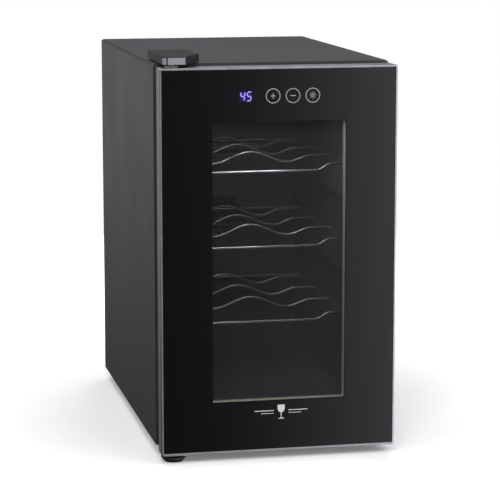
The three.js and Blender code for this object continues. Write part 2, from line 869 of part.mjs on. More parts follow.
// A wire bent through a list of points, with one section at each point.
class BentWire extends THREE.Curve {
  constructor(points) {
    super();
    this.points = points;
  }

  getPoint(t) {
    const place = t * (this.points.length - 1);
    const index = Math.min(Math.floor(place), this.points.length - 2);
    return this.points[index].clone().lerp(this.points[index + 1], place - index);
  }

  getPointAt(u) {
    return this.getPoint(u);
  }

  getTangentAt(u) {
    const index = Math.round(u * (this.points.length - 1));
    const before = this.points[Math.max(index - 1, 0)];
    const after = this.points[Math.min(index + 1, this.points.length - 1)];
    return after.clone().sub(before).normalize();
  }
}

const wireSides = 6;

function bent(points) {
  const section = new THREE.Shape();
  for (let side = 0; side < wireSides; side += 1) {
    const angle = (2 * Math.PI * side) / wireSides;
    const place = [wire * Math.cos(angle), wire * Math.sin(angle)];
    if (side === 0) section.moveTo(...place);
    else section.lineTo(...place);
  }
  const extrudePath = new BentWire(points);
  return new THREE.ExtrudeGeometry(section, { steps: points.length - 1, extrudePath, bevelEnabled: false });
}

// Points along a smooth rise or fall from one point to another, both ends level.
function ease(from, to, count) {
  const points = [];
  for (let index = 0; index <= count; index += 1) {
    const t = index / count;
    const point = from.clone().lerp(to, t);
    point.z = from.z + ((to.z - from.z) * (1 - Math.cos(Math.PI * t))) / 2;
    points.push(point);
  }
  return points;
}

function corner(centreX, centreY, from, to, z, count) {
  const points = [];
  for (let index = 0; index <= count; index += 1) {
    const angle = from + ((to - from) * index) / count;
    points.push(
      new THREE.Vector3(centreX + railCorner * Math.cos(angle), centreY + railCorner * Math.sin(angle), z),
    );
  }
  return points;
}

function frameWire(z) {
  const turn = Math.PI / 2;
  const bendX = railX - dipStart;
  const at = (x, dip) => new THREE.Vector3(x, rackFront, z - dip);
  return bent([
    new THREE.Vector3(-railX, rackBack, z),
    ...corner(-railX + railCorner, rackFront + railCorner, 2 * turn, 3 * turn, z, 4),
    ...ease(at(-bendX, 0), at(-bendX + dipRun, frontDip), 4),
    ...ease(at(bendX - dipRun, frontDip), at(bendX, 0), 4),
    ...corner(railX - railCorner, rackFront + railCorner, -turn, 0, z, 4),
    new THREE.Vector3(railX, rackBack, z),
  ]);
}

function waveWire(y, z) {
  const shoulderX = railX - waveShoulder;
  const at = (x, rise) => new THREE.Vector3(x, y, z + rise);
  const right = [
    ...ease(at(0, wavePeak), at(valleyX, -waveValley), 4),
    ...ease(at(valleyX, -waveValley), at(shoulderX, 0), 3).slice(1),
    at(railX, 0),
  ];
  const left = right.slice(1).map((point) => new THREE.Vector3(-point.x, point.y, point.z)).reverse();
  return bent([...left, ...right]);
}

function rack(index) {
  const z = rackLevel(index);
  const pieces = [
    frameWire(z),
    bent([new THREE.Vector3(-railX - 1, rackBack, z), new THREE.Vector3(railX + 1, rackBack, z)]),
  ];
  const first = rackFront + waveSetback;
  const last = rackBack - 14;
  for (let count = 0; count < waveCount; count += 1) {
    pieces.push(waveWire(first + ((last - first) * count) / (waveCount - 1), z));
  }
  return join(...pieces);
}

// ---- Materials ----------------------------------------------------------------------------

const finish = (color, roughness, metalness) => ({ color, roughness, metalness });
const finishes = {
  paint: finish("#4a4b4d", 0.42, 0.3),
  steel: finish("#8f9193", 0.35, 0.9),
  liner: finish("#2b2b2d", 0.5, 0),
  blackPlastic: finish("#1c1c1d", 0.55, 0),
  foam: finish("#d8c9a0", 0.9, 0),
  aluminium: finish("#b9b8b4", 0.35, 0.9),
  chrome: finish("#c9c9cb", 0.12, 1),
  trim: finish("#8d8f90", 0.28, 0.7),
  glass: finish("#20242a", 0.05, 0),
  ink: finish("#0c0c0e", 0.4, 0),
  rubber: finish("#222222", 0.85, 0),
  board: finish("#1f5b38", 0.6, 0),
  ceramic: finish("#eeeeea", 0.6, 0),
  nylon: finish("#d9d9d4", 0.5, 0),
  lens: finish("#e8eef2", 0.3, 0),
};

// ---- Assembly -----------------------------------------------------------------------------

const cooler = new THREE.Group();
cooler.position.y = -depth / 2;

function place(name, geometry, look) {
  const mesh = new THREE.Mesh(geometry, new THREE.MeshStandardMaterial(finishes[look]));
  mesh.name = name;
  cooler.add(mesh);
}

place("outer_wrap", outerWrap(), "paint");
place("base_panel", basePanel(), "steel");
place("back_panel", backPanel(), "paint");
backScrews.forEach((spot, index) => place(`back_screw_${index + 1}`, backScrew(spot), "steel"));
place("insulation", insulation(), "foam");
place("inner_liner", innerLiner(), "liner");

place("fan_cover", fanCover(), "liner");
place(
  "cold_sink",
  finned(coldSinkSize, [linerBack - 4.5, linerBack - gap], [coldFanBack + gap, linerBack - 4], 9, 1.5),
  "aluminium",
);
place("cold_fan_frame", fanFrame(coldFanSize, [coldFanFront, coldFanBack], coldShaft), "blackPlastic");
place("cold_fan_rotor", fanRotor(coldFanSize, [coldFanFront, coldFanBack], coldShaft, 7), "blackPlastic");
place(
  "cold_block",
  block(around(0, moduleSize), [linerBack, foamBack - moduleThickness - gap], around(unitZ, moduleSize)),
  "aluminium",
);
place(
  "thermoelectric_module",
  block(around(0, moduleSize), [foamBack - moduleThickness, foamBack], around(unitZ, moduleSize)),
  "ceramic",
);
place(
  "hot_sink",
  finned(hotSinkSize, [hotSinkFront, hotSinkFront + 5], [hotSinkFront + 4.5, hotFinBack], 13, 1.5),
  "aluminium",
);
place("hot_fan_frame", fanFrame(hotFanSize, [hotFanFront, hotFanBack], hotShaft), "blackPlastic");
place("hot_fan_rotor", fanRotor(hotFanSize, [hotFanFront, hotFanBack], hotShaft, 9), "blackPlastic");
place("fan_grille", fanGrille(), "blackPlastic");
place("power_board", powerBoard(), "board");
place("power_inlet", powerInlet(), "blackPlastic");
place("light_board", lightBoard(), "board");
place("light_lens", lightLens(), "lens");
place("temperature_probe", temperatureProbe(), "blackPlastic");

place("foot_front_left", foot(hingeX, hingeY, hingePlateLow - 1, lowerPinTop - 3 - gap), "rubber");
const footTop = legHeight - gap;
place("foot_front_right", foot(footX, frontFootY, footTop, footTop + stemLength), "rubber");
place("foot_rear_left", foot(-footX, rearFootY, footTop, footTop + 10), "rubber");
place("foot_rear_right", foot(footX, rearFootY, footTop, footTop + 10), "rubber");

place("top_hinge_bracket", topHingeBracket(), "steel");
place("top_hinge_pin", topHingePin(), "steel");
topScrews.forEach(({ x, y }, index) => {
  place(`top_hinge_screw_${index + 1}`, pan(x, y, hingePlateZ + plate + gap, screwRadius, 1), "steel");
});
place("top_hinge_cover", topHingeCover(), "blackPlastic");
place("lower_hinge_bracket", lowerHingeBracket(), "steel");
place("lower_hinge_pin", lowerHingePin(), "steel");
lowerScrews.forEach(({ x, y }, index) => {
  place(`lower_hinge_screw_${index + 1}`, pan(x, y, lowerPlateZ - gap, screwRadius, -1), "steel");
});

place("front_trim", frontTrim(), "trim");
place("outer_glass", outerGlass(), "glass");
place("glass_print", glassPrint(), "ink");
place("glazing_spacer", glazingSpacer(), "aluminium");
place("inner_glass", innerGlass(), "glass");
place("door_frame", doorFrame(), "trim");
place("door_liner", doorLiner(), "blackPlastic");
place("door_gasket", doorGasket(), "rubber");
place("control_board", controlBoard(), "board");
place("display_module", displayModule(), "blackPlastic");
["plus", "minus", "light"].forEach((name, index) => place(`touch_pad_${name}`, touchPad(index), "nylon"));
place(
  "top_bushing",
  bushing(topPinRadius, [doorTop - 16, doorTop + 0.1], [doorTop + 0.1, doorTop + 1.3]),
  "nylon",
);
place(
  "bottom_bushing",
  bushing(lowerPinRadius, [doorBottom, lowerPinTop], [doorBottom - 0.75, doorBottom]),
  "nylon",
);

["lower", "middle", "upper"].forEach((name, index) => place(`rack_${name}`, rack(index), "chrome"));

export default cooler;
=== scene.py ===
"""Looks of a compact wine cooler: meshes, finishes and a plain studio around its fixed frame."""

import logging
import math
from dataclasses import dataclass, field
from enum import Enum
from typing import Callable, Sequence

import bmesh
import bpy
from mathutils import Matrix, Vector


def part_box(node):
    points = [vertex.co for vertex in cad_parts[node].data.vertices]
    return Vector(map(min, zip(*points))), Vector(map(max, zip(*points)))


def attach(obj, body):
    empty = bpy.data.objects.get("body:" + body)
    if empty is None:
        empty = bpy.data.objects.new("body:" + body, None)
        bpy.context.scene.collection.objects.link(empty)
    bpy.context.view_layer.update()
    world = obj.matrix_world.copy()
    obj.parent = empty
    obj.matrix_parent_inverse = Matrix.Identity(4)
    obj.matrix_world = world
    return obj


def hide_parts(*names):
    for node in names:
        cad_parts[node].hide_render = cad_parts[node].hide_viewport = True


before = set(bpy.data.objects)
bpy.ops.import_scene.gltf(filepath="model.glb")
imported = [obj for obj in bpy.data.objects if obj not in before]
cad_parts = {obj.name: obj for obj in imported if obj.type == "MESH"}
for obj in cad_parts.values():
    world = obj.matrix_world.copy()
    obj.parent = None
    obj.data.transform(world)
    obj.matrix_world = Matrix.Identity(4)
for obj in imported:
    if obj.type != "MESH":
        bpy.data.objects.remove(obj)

LOG = logging.getLogger("wine_cooler")
MM = 0.001
TURN = 2 * math.pi

Point = tuple[float, float, float]
Flat = tuple[float, float]
Colour = tuple[float, float, float]


class Body(Enum):
    """Bodies of the frame that pieces ride on."""

    CABINET = "cabinet"
    DOOR = "door"
    COLD_FAN = "cold_fan"
    HOT_FAN = "hot_fan"
    UPPER = "upper_rack"
    MIDDLE = "middle_rack"
    LOWER = "lower_rack"


class Icon(Enum):
    """Marks printed inside the touch rings."""

    PLUS = "plus"
    MINUS = "minus"
    LIGHT = "light"


class Axis(Enum):
    """Directions that a turned piece can stand in."""

    ACROSS = 0
    BACK = 1
    UP = 2


# ---- Shader graph ---------------------------------------------------------------------------


class Value:
    """A socket of a shader graph that takes part in arithmetic."""

    def __init__(self, graph: "Graph", socket: bpy.types.NodeSocket) -> None:
        """Keeps the graph and the socket.

        Args:
            graph: Graph that new nodes are added to.
            socket: Output socket that holds the value.
        """
        self.graph = graph
        self.socket = socket

    def _math(self, operation: str, *values: "Value | float") -> "Value":
        """Adds one Math node.

        Args:
            operation: The node's operation.
            values: Inputs, in order.

        Returns:
            The node's result.
        """
        inputs = dict(enumerate(values))
        return self.graph.add("ShaderNodeMath", {"operation": operation}, inputs)

    def __add__(self, other: "Value | float") -> "Value":
        """Sum."""
        return self._math("ADD", self, other)

    __radd__ = __add__

    def __sub__(self, other: "Value | float") -> "Value":
        """Difference."""
        return self._math("SUBTRACT", self, other)

    def __rsub__(self, other: float) -> "Value":
        """Difference from a number."""
        return self._math("SUBTRACT", other, self)

    def __mul__(self, other: "Value | float") -> "Value":
        """Product."""
        return self._math("MULTIPLY", self, other)

    __rmul__ = __mul__

    def __abs__(self) -> "Value":
        """Size without sign."""
        return self._math("ABSOLUTE", self)

    def most(self, other: "Value | float") -> "Value":
        """The larger of two values."""
        return self._math("MAXIMUM", self, other)

    def root(self) -> "Value":
        """Square root."""
        return self._math("SQRT", self)

    def sine(self) -> "Value":
        """Sine of the value in radians."""
        return self._math("SINE", self)

    def ramp(self, low: float, high: float) -> "Value":
        """Smooth rise from 0 at low to 1 at high; low may be the larger.

        Args:
            low: Value that gives 0.
            high: Value that gives 1.

        Returns:
            The eased value, clamped.
        """
        flip = low > high
        bottom, top = (high, low) if flip else (low, high)
        eased = self.graph.add(
            "ShaderNodeMapRange",
            {"interpolation_type": "SMOOTHSTEP"},
            {"Value": self, "From Min": bottom, "From Max": top},
        )
        return 1 - eased if flip else eased


class Graph:
    """A material's node tree, and the one way in which its nodes are made."""

    def __init__(self, name: str) -> None:
        """Starts an empty material.

        Args:
            name: The material's name.
        """
        self.material = bpy.data.materials.new(name)
        self.material.use_nodes = True
        self.tree = self.material.node_tree
        self.tree.nodes.clear()
        self._place: Value | None = None

    def node(self, kind: str, settings: dict | None = None, inputs: dict | None = None) -> bpy.types.Node:
        """Makes a node, with its settings first and its sockets after them.

        Args:
            kind: The node's type.
            settings: Attributes of the node, such as its operation.
            inputs: Values or links, by socket name or number.

        Returns:
            The new node.
        """
        made = self.tree.nodes.new(kind)
        for key, value in (settings or {}).items():
            setattr(made, key, value)
        for key, value in (inputs or {}).items():
            socket = made.inputs[key]
            if isinstance(value, Value):
                self.tree.links.new(value.socket, socket)
            elif isinstance(value, tuple) and len(value) == 3 and socket.type == "RGBA":
                socket.default_value = (*value, 1.0)
            else:
                socket.default_value = value
        return made

    def add(
        self, kind: str, settings: dict | None = None, inputs: dict | None = None, output: int | str = 0
    ) -> Value:
        """Makes a node and gives one of its outputs.

        Args:
            kind: The node's type.
            settings: Attributes of the node.
            inputs: Values or links, by socket name or number.
            output: Output socket, by name or number.

        Returns:
            The output.
        """
        return Value(self, self.node(kind, settings, inputs).outputs[output])

    def place(self) -> Value:
        """Position on the piece in its own frame, in metres.

        Returns:
            The position.
        """
        if self._place is None:
            self._place = self.add("ShaderNodeTexCoord", output="Object")
        return self._place

    def parts(self) -> tuple[Value, Value, Value]:
        """The position's three coordinates, in millimetres.

        Returns:
            The coordinates.
        """
        split = self.node("ShaderNodeSeparateXYZ", None, {0: self.place()})
        x, y, z = (Value(self, split.outputs[index]) * 1000 for index in range(3))
        return x, y, z

    def stretched(self, factors: Colour) -> Value:
        """Position scaled along each axis, for grain that runs one way.

        Args:
            factors: Scale along each axis.

        Returns:
            The scaled position.
        """
        return self.add(
            "ShaderNodeVectorMath", {"operation": "MULTIPLY"}, {0: self.place(), 1: factors}
        )

    def noise(self, size: float, detail: float = 2.0, rough: float = 0.5, at: Value | None = None) -> Value:
        """Soft noise.

        Args:
            size: Size of its features in millimetres.
            detail: Octaves.
            rough: Share of each further octave.
            at: Position; the piece's own when left out.

        Returns:
            Values around 0.5.
        """
        return self.add(
            "ShaderNodeTexNoise",
            {"noise_dimensions": "3D"},
            {"Vector": at or self.place(), "Scale": 1000 / size, "Detail": detail, "Roughness": rough},
            "Fac",
        )

    def cells(self, size: float, output: str = "Distance", feature: str = "F1") -> Value:
        """Voronoi cells.

        Args:
            size: Size of a cell in millimetres.
            output: The output to take.
            feature: What the cells measure.

        Returns:
            The output.
        """
        return self.add(
            "ShaderNodeTexVoronoi",
            {"feature": feature},
            {"Vector": self.place(), "Scale": 1000 / size},
            output,
        )

    def mix(self, factor: Value | float, first: Value | Colour, second: Value | Colour) -> Value:
        """Colour between two others.

        Args:
            factor: 0 gives the first, 1 the second.
            first: A colour.
            second: A colour.

        Returns:
            The mixed colour.
        """
        return self.add(
            "ShaderNodeMix",
            {"data_type": "RGBA"},
            {"Factor": factor, 6: first, 7: second},
            2,
        )

    def bump(self, height: Value, depth: float, under: Value | None = None) -> Value:
        """Normal of a bumpy surface.

        Args:
            height: Height map, 0 to 1.
            depth: Depth of the relief in millimetres.
            under: A normal below this one.

        Returns:
            The normal.
        """
        inputs: dict = {"Height": height, "Distance": depth * MM, "Strength": 1.0}
        if under is not None:
            inputs["Normal"] = under
        return self.add("ShaderNodeBump", None, inputs)

    def surface(self, **inputs: object) -> bpy.types.Material:
        """Ends the graph with one Principled shader.

        Args:
            inputs: Sockets of the shader, with _ for each space.

        Returns:
            The finished material.
        """
        named = {key.replace("_", " "): value for key, value in inputs.items()}
        shader = self.add("ShaderNodeBsdfPrincipled", None, named)
        self.node("ShaderNodeOutputMaterial", None, {"Surface": shader})
        return self.material


# ---- Finishes -------------------------------------------------------------------------------


def scaled(colour: Colour, factor: float) -> Colour:
    """A colour made lighter or darker."""
    return tuple(min(part * factor, 1.0) for part in colour)


@dataclass(frozen=True)
class Finish:
    """A finish that a piece takes, with the name of the slot that it belongs to."""

    name: str
    slot: str
    colour: Colour

    def graph(self) -> Graph:
        """An empty graph under this finish's name."""
        return Graph(self.name)

    def toned(self, graph: Graph, mask: Value, dark: float, light: float) -> Value:
        """The finish's colour between a darker and a lighter tone.

        Args:
            graph: Graph of the material.
            mask: 0 gives the darker tone, 1 the lighter.
            dark: Factor of the darker tone.
            light: Factor of the lighter tone.

        Returns:
            The colour.
        """
        return graph.mix(mask, scaled(self.colour, dark), scaled(self.colour, light))

    def build(self) -> bpy.types.Material:
        """Makes the material."""
        raise NotImplementedError

    def material(self) -> bpy.types.Material:
        """The material, made once."""
        made = bpy.data.materials.get(self.name)
        return made if made is not None else self.build()


@dataclass(frozen=True)
class Paint(Finish):
    """Baked enamel on steel: a fine orange peel under a satin gloss."""

    roughness: float = 0.36
    peel: float = 1.3
    relief: float = 0.012

    def build(self) -> bpy.types.Material:
        """Makes the material: orange peel, slow mottling and faint wiping marks.

        Returns:
            The material.
        """
        g = self.graph()
        peel = g.noise(self.peel, 3.0, 0.55)
        slow = g.noise(90, 2.0)
        wiped = g.noise(3, 3.0, 0.6, g.stretched((0.12, 1.0, 0.6)))
        tone = slow * 0.7 + wiped * 0.3
        colour = self.toned(g, tone.ramp(0.3, 0.7), 0.93, 1.08)
        return g.surface(
            Base_Color=colour,
            Roughness=tone.ramp(0.2, 0.8) * 0.07 + (self.roughness - 0.03),
            Normal=g.bump(peel, self.relief),
        )


@dataclass(frozen=True)
class Moulded(Finish):
    """Injection-moulded plastic with a spark-eroded grain."""

    roughness: float = 0.5
    grain: float = 0.5
    relief: float = 0.02

    def build(self) -> bpy.types.Material:
        """Makes the material: grain, flow marks and a little unevenness of tone.

        Returns:
            The material.
        """
        g = self.graph()
        grain = g.noise(self.grain, 4.0, 0.6)
        flow = g.noise(35, 2.0, 0.5, g.stretched((1.0, 1.0, 0.35)))
        colour = self.toned(g, flow.ramp(0.3, 0.7), 0.9, 1.1)
        return g.surface(
            Base_Color=colour,
            Roughness=grain * 0.12 + (self.roughness - 0.06) + flow * 0.04,
            Normal=g.bump(grain, self.relief),
        )


@dataclass(frozen=True)
class PaintedHighlightMoulding(Moulded):
    """Moulded plastic whose front face is painted light grey as a painted highlight, broken by a painted dark
    reflection line near one end.
    """

    # Right, back and top limits of the front face that is painted light grey as a highlight.
    panel: tuple[float, float, float] = (-113.2, -234.6, 490.7)
    # Colour of the painted highlight.
    painted_highlight: Colour = (0.235, 0.238, 0.242)
    # Centre and half width of a painted dark reflection line across the highlight.
    groove: tuple[float, float] = (-135.0, 0.8)

    def build(self) -> bpy.types.Material:
        """Makes the material: the painted highlight covers the front face and wraps its rounded corner.

        Returns:
            The material.
        """
        g = self.graph()
        grain = g.noise(self.grain, 4.0, 0.6)
        right, back, top = self.panel
        centre, half = self.groove
        # Painted highlight mask: the front face, less the painted reflection line.
        face = (abs(g.parts()[0] - centre) - half).ramp(-0.1, 0.1)
        for part, limit in zip(g.parts(), (right, back, top)):
            face = face * (part - limit).ramp(0.1, -0.1)
        colour = self.toned(g, grain.ramp(0.3, 0.7), 0.9, 1.1)
        return g.surface(
            Base_Color=g.mix(face, colour, self.painted_highlight),
            Roughness=grain * 0.12 + (self.roughness - 0.06) - face * 0.08,
            Specular_IOR_Level=0.3,
            Normal=g.bump(grain, self.relief),
        )


@dataclass(frozen=True)
class Metal(Finish):
    """Bare or plated metal, drawn or brushed along one axis."""

    roughness: float = 0.3
    along: Axis = Axis.ACROSS
    relief: float = 0.004
    line: float = 0.25

    def build(self) -> bpy.types.Material:
        """Makes the material: fine lines along the piece and a soft change of gloss.

        Returns:
            The material.
        """
        g = self.graph()
        factors = tuple(0.03 if axis is self.along else 1.0 for axis in Axis)
        lines = g.noise(self.line, 3.0, 0.6, g.stretched(factors))
        cloud = g.noise(14, 3.0, 0.6)
        colour = self.toned(g, cloud.ramp(0.3, 0.75), 0.88, 1.06)
        return g.surface(
            Base_Color=colour,
            Metallic=1.0,
            Roughness=lines * 0.1 + cloud * 0.08 + (self.roughness - 0.08),
            Normal=g.bump(lines, self.relief),
        )


@dataclass(frozen=True)
class Perforated(Finish):
    """Rolled spacer bar with two rows of breathing holes along its length."""

    pitch: float = 3.2
    roughness: float = 0.4

    def build(self) -> bpy.types.Material:
        """Makes the material: pinholes in rows, painted near-black as the shade inside them, over a rolled
        grain.

        Returns:
            The material.
        """
        g = self.graph()
        x, y, z = g.parts()
        rate = TURN / self.pitch
        along = ((x + z) * rate).sine()
        rows = (y * (TURN / 6.0)).sine()
        # holes marks the pinholes, which are painted near-black as painted shade inside them.
        holes = abs(along * rows).ramp(0.5, 0.75)
        rolled = g.noise(0.5, 3.0, 0.6, g.stretched((1.0, 1.0, 0.05)))
        colour = self.toned(g, rolled, 0.85, 1.15)
        return g.surface(
            Base_Color=g.mix(holes, colour, (0.02, 0.02, 0.02)),
            Metallic=0.55,
            Roughness=rolled * 0.1 + self.roughness,
            Normal=g.bump(rolled - holes, 0.06),
        )


@dataclass(frozen=True)
class Galvanised(Finish):
    """Hot-dipped zinc with its crystals."""

    spangle: float = 7.0

    def build(self) -> bpy.types.Material:
        """Makes the material: one tone and gloss for each crystal, with faint borders.

        Returns:
            The material.
        """
        g = self.graph()
        crystal = g.cells(self.spangle, "Color")
        tone = g.add("ShaderNodeSeparateColor", None, {0: crystal})
        edge = g.cells(self.spangle, feature="DISTANCE_TO_EDGE").ramp(0.0, 0.06)
        colour = self.toned(g, tone * 0.8 + edge * 0.2, 0.85, 1.05)
        return g.surface(
            Base_Color=colour,
            Metallic=0.9,
            Roughness=tone * 0.16 + 0.36,
            Normal=g.bump(g.noise(2.0, 3.0), 0.01),
        )


@dataclass(frozen=True)
class Foamed(Finish):
    """Rigid polyurethane foam with open cells where it was cut."""

    def build(self) -> bpy.types.Material:
        """Makes the material: rounded cells over slow swells.

        Returns:
            The material.
        """
        g = self.graph()
        cells = g.cells(1.4).ramp(0.1, 0.8)
        swell = g.noise(40, 3.0)
        colour = self.toned(g, cells * 0.6 + swell * 0.4, 0.72, 1.1)
        return g.surface(Base_Color=colour, Roughness=0.92, Normal=g.bump(cells + swell, 0.3))


@dataclass(frozen=True)
class Board(Finish):
    """Circuit board: solder resist over copper tracks, with tinned pads."""

    pitch: float = 5.0

    def build(self) -> bpy.types.Material:
        """Makes the material: rows of tracks and a grid of pads.

        Returns:
            The material.
        """
        g = self.graph()
        x, _, z = g.parts()
        rate = TURN / self.pitch
        tracks = ((z * (rate * 2) + g.noise(18, 1.0) * 9).sine()).ramp(0.55, 0.7)
        pads = ((x * rate).sine() * (z * rate).sine()).ramp(0.8, 0.86)
        resist = g.mix(tracks, self.colour, scaled(self.colour, 2.1))
        return g.surface(
            Base_Color=g.mix(pads, resist, (0.6, 0.58, 0.53)),
            Metallic=pads,
            Roughness=0.42 - pads * 0.14,
            Normal=g.bump(tracks + pads, 0.05),
        )


@dataclass(frozen=True)
class Rubber(Finish):
    """Soft rubber or vinyl with a dull bloom."""

    roughness: float = 0.7

    def build(self) -> bpy.types.Material:
        """Makes the material: a dusty bloom over a faint grain.

        Returns:
            The material.
        """
        g = self.graph()
        bloom = g.noise(9, 4.0, 0.65)
        grain = g.noise(0.35, 2.0)
        colour = g.mix(bloom.ramp(0.35, 0.8), self.colour, scaled(self.colour, 1.9))
        return g.surface(
            Base_Color=colour,
            Roughness=bloom * 0.15 + (self.roughness - 0.07),
            Normal=g.bump(grain, 0.02),
        )


@dataclass(frozen=True)
class Clear(Finish):
    """Clear pane, seen as a thin veil with a polished surface."""

    veil: float = 0.1

    def build(self) -> bpy.types.Material:
        """Makes the material: a polished surface with faint wiping marks.

        Returns:
            The material.
        """
        g = self.graph()
        wiped = g.noise(40, 3.0, 0.6, g.stretched((1.0, 1.0, 0.3)))
        return g.surface(
            Base_Color=g.mix(wiped, self.colour, scaled(self.colour, 1.15)),
            Roughness=wiped * 0.05 + 0.01,
            Alpha=wiped * 0.04 + (self.veil - 0.02),
            Coat_Weight=0.3,
        )


@dataclass(frozen=True)
class PrintedGlass(Finish):
    """Black-bordered glass: solid where the print backs it, clear in the window."""

    window: tuple[float, float, float] = (81.8, 73.5, 414.0)
    rounding: float = 1.5
    veil: float = 0.16
    led: tuple[float, float, float, float] = (-41.2, 443.9, 6.6, 4.8)
    glow: Colour = (0.010, 0.006, 0.085)

    def build(self) -> bpy.types.Material:
        """Makes the material: the window as a rounded oblong, and light that spreads in the glass.

        Returns:
            The material.
        """
        g = self.graph()
        x, _, z = g.parts()
        half, low, high = self.window
        across = (abs(x) - (half - self.rounding)).most(0.0)
        up = (abs(z - (low + high) / 2) - ((high - low) / 2 - self.rounding)).most(0.0)
        outside = (across * across + up * up).root() - self.rounding
        border = outside.ramp(-0.12, 0.12)
        wiped = g.noise(60, 3.0, 0.6, g.stretched((1.0, 1.0, 0.35)))
        centre_x, centre_z, half_x, half_z = self.led
        off_x = (abs(x - centre_x) - half_x).most(0.0)
        off_z = (abs(z - centre_z) - half_z).most(0.0)
        spread = (off_x * off_x + off_z * off_z).root().ramp(3.4, 0.0)
        return g.surface(
            Base_Color=g.mix(wiped, self.colour, scaled(self.colour, 1.3)),
            Roughness=wiped * 0.04 + 0.02,
            Alpha=border * (1 - self.veil) + self.veil,
            Emission_Color=g.mix(spread * spread, (0.0, 0.0, 0.0), self.glow),
            Emission_Strength=1.0,
        )


@dataclass(frozen=True)
class Lit(Finish):
    """Light-emitting segments whose brightness varies in soft clouds."""

    strength: float = 1.0

    def build(self) -> bpy.types.Material:
        """Makes the material.

        Returns:
            The material.
        """
        g = self.graph()
        cloud = g.noise(1.6, 2.0)
        glow = g.mix(cloud.ramp(0.3, 0.7), self.colour, scaled(self.colour, 1.25))
        return g.surface(
            Base_Color=(0.02, 0.02, 0.05),
            Roughness=0.4,
            Emission_Color=glow,
            Emission_Strength=self.strength,
        )


@dataclass(frozen=True)
class Print(Finish):
    """Screen-printed ink."""

    roughness: float = 0.55

    def build(self) -> bpy.types.Material:
        """Makes the material: the mesh of the screen leaves a fine unevenness.

        Returns:
            The material.
        """
        g = self.graph()
        screen = g.noise(0.25, 2.0)
        colour = self.toned(g, screen, 0.85, 1.15)
        return g.surface(
            Base_Color=colour, Roughness=screen * 0.1 + (self.roughness - 0.05), Normal=g.bump(screen, 0.01)
        )


@dataclass(frozen=True)
class Diffuser(Finish):
    """Milky lens over the cabinet light, ribbed inside."""

    def build(self) -> bpy.types.Material:
        """Makes the material: fine ribs that show through a milky skin.

        Returns:
            The material.
        """
        g = self.graph()
        x, _, _ = g.parts()
        ribs = (x * (TURN / 2.5)).sine() * 0.5 + 0.5
        colour = g.mix(ribs * 0.5, scaled(self.colour, 0.8), self.colour)
        return g.surface(Base_Color=colour, Roughness=0.35, Normal=g.bump(ribs, 0.15), Coat_Weight=0.2)


ENAMEL = Paint("dark_enamel", "cabinet_paint", (0.033, 0.0345, 0.037))
GALVANISED = Galvanised("galvanised_sheet", "galvanised_steel", (0.52, 0.54, 0.56))
FOAM = Foamed("rigid_foam", "foam", (0.72, 0.62, 0.36))
LINER = Moulded(
    "liner_grain", "liner_plastic", (0.033, 0.0325, 0.0345), roughness=0.42, grain=0.8, relief=0.015
)
BLACK = Moulded(
    "black_moulding", "black_plastic", (0.021, 0.0215, 0.023), roughness=0.4, grain=0.45, relief=0.015
)
# The hinge cap's front face carries a painted highlight and a painted dark reflection line.
CAP = PaintedHighlightMoulding(
    "cap_moulding", "black_plastic", (0.012, 0.012, 0.013), roughness=0.44, grain=0.45, relief=0.02
)
ALUMINIUM = Metal("extruded_aluminium", "aluminium", (0.62, 0.63, 0.64), roughness=0.34, along=Axis.UP)
CERAMIC = Moulded("alumina_ceramic", "ceramic", (0.75, 0.74, 0.7), roughness=0.6, grain=0.2, relief=0.01)
BOARD = Board("circuit_board", "circuit_board", (0.012, 0.06, 0.028))
LENS = Diffuser("milky_lens", "lens_plastic", (0.78, 0.79, 0.8))
FOOT = Moulded("foot_moulding", "foot_rubber", (0.016, 0.016, 0.017), roughness=0.45, grain=0.6, relief=0.03)
ZINC = Metal("zinc_plate", "zinc_steel", (0.58, 0.57, 0.54), roughness=0.32, line=0.5)
TRIM = Metal("silver_rim", "silver_trim", (0.47, 0.475, 0.485), roughness=0.3, along=Axis.UP, line=0.3)
GLASS = PrintedGlass("printed_glass", "tinted_glass", (0.0035, 0.0035, 0.0042))
PANE = Clear("inner_pane", "tinted_glass", (0.13, 0.128, 0.136), veil=0.09)
INK = Print("border_ink", "black_ink", (0.004, 0.004, 0.0045), roughness=0.5)
GASKET = Rubber("gasket_vinyl", "gasket_rubber", (0.028, 0.028, 0.029))
NYLON = Moulded("natural_nylon", "nylon", (0.66, 0.65, 0.6), roughness=0.45, grain=0.9)
WIRE = Metal("plated_wire", "chrome_wire", (0.19, 0.187, 0.19), roughness=0.42, along=Axis.BACK, line=0.6)
SPACER = Perforated("spacer_bar_roll", "aluminium", (0.60, 0.56, 0.48), pitch=4.6)
FRAME = Metal("frame_silver", "silver_trim", (0.46, 0.465, 0.475), roughness=0.42, along=Axis.UP, line=0.35)
DIGITS = Lit("display_light", "lens_plastic", (0.33, 0.25, 0.92), strength=1.15)
SYMBOL = Print("symbol_ink", "black_ink", (0.30, 0.30, 0.31))
MARK = Print("mark_ink", "black_ink", (0.62, 0.62, 0.63))


# ---- Meshes ---------------------------------------------------------------------------------


@dataclass
class Solid:
    """Points and faces of closed shells, in millimetres."""

    points: list[Point] = field(default_factory=list)
    faces: list[tuple[int, ...]] = field(default_factory=list)

    def join(self, other: "Solid") -> "Solid":
        """Adds another solid's shells to this one.

        Args:
            other: The solid to add.

        Returns:
            This solid.
        """
        base = len(self.points)
        self.points += other.points
        self.faces += [tuple(index + base for index in face) for face in other.faces]
        return self


def loft(rings: Sequence[Sequence[Point]], closed: bool = False) -> Solid:
    """Skins a row of rings that have equal numbers of points.

    Args:
        rings: The rings in order.
        closed: Joins the last ring to the first instead of closing both ends.

    Returns:
        The skinned solid.
    """
    count = len(rings[0])
    solid = Solid([point for ring in rings for point in ring])
    rows = len(rings)
    for row in range(rows if closed else rows - 1):
        here, there = row * count, (row + 1) % rows * count
        for index in range(count):
            after = (index + 1) % count
            solid.faces.append((here + index, here + after, there + after, there + index))
    if not closed:
        solid.faces.append(tuple(reversed(range(count))))
        solid.faces.append(tuple(range((rows - 1) * count, rows * count)))
    return solid


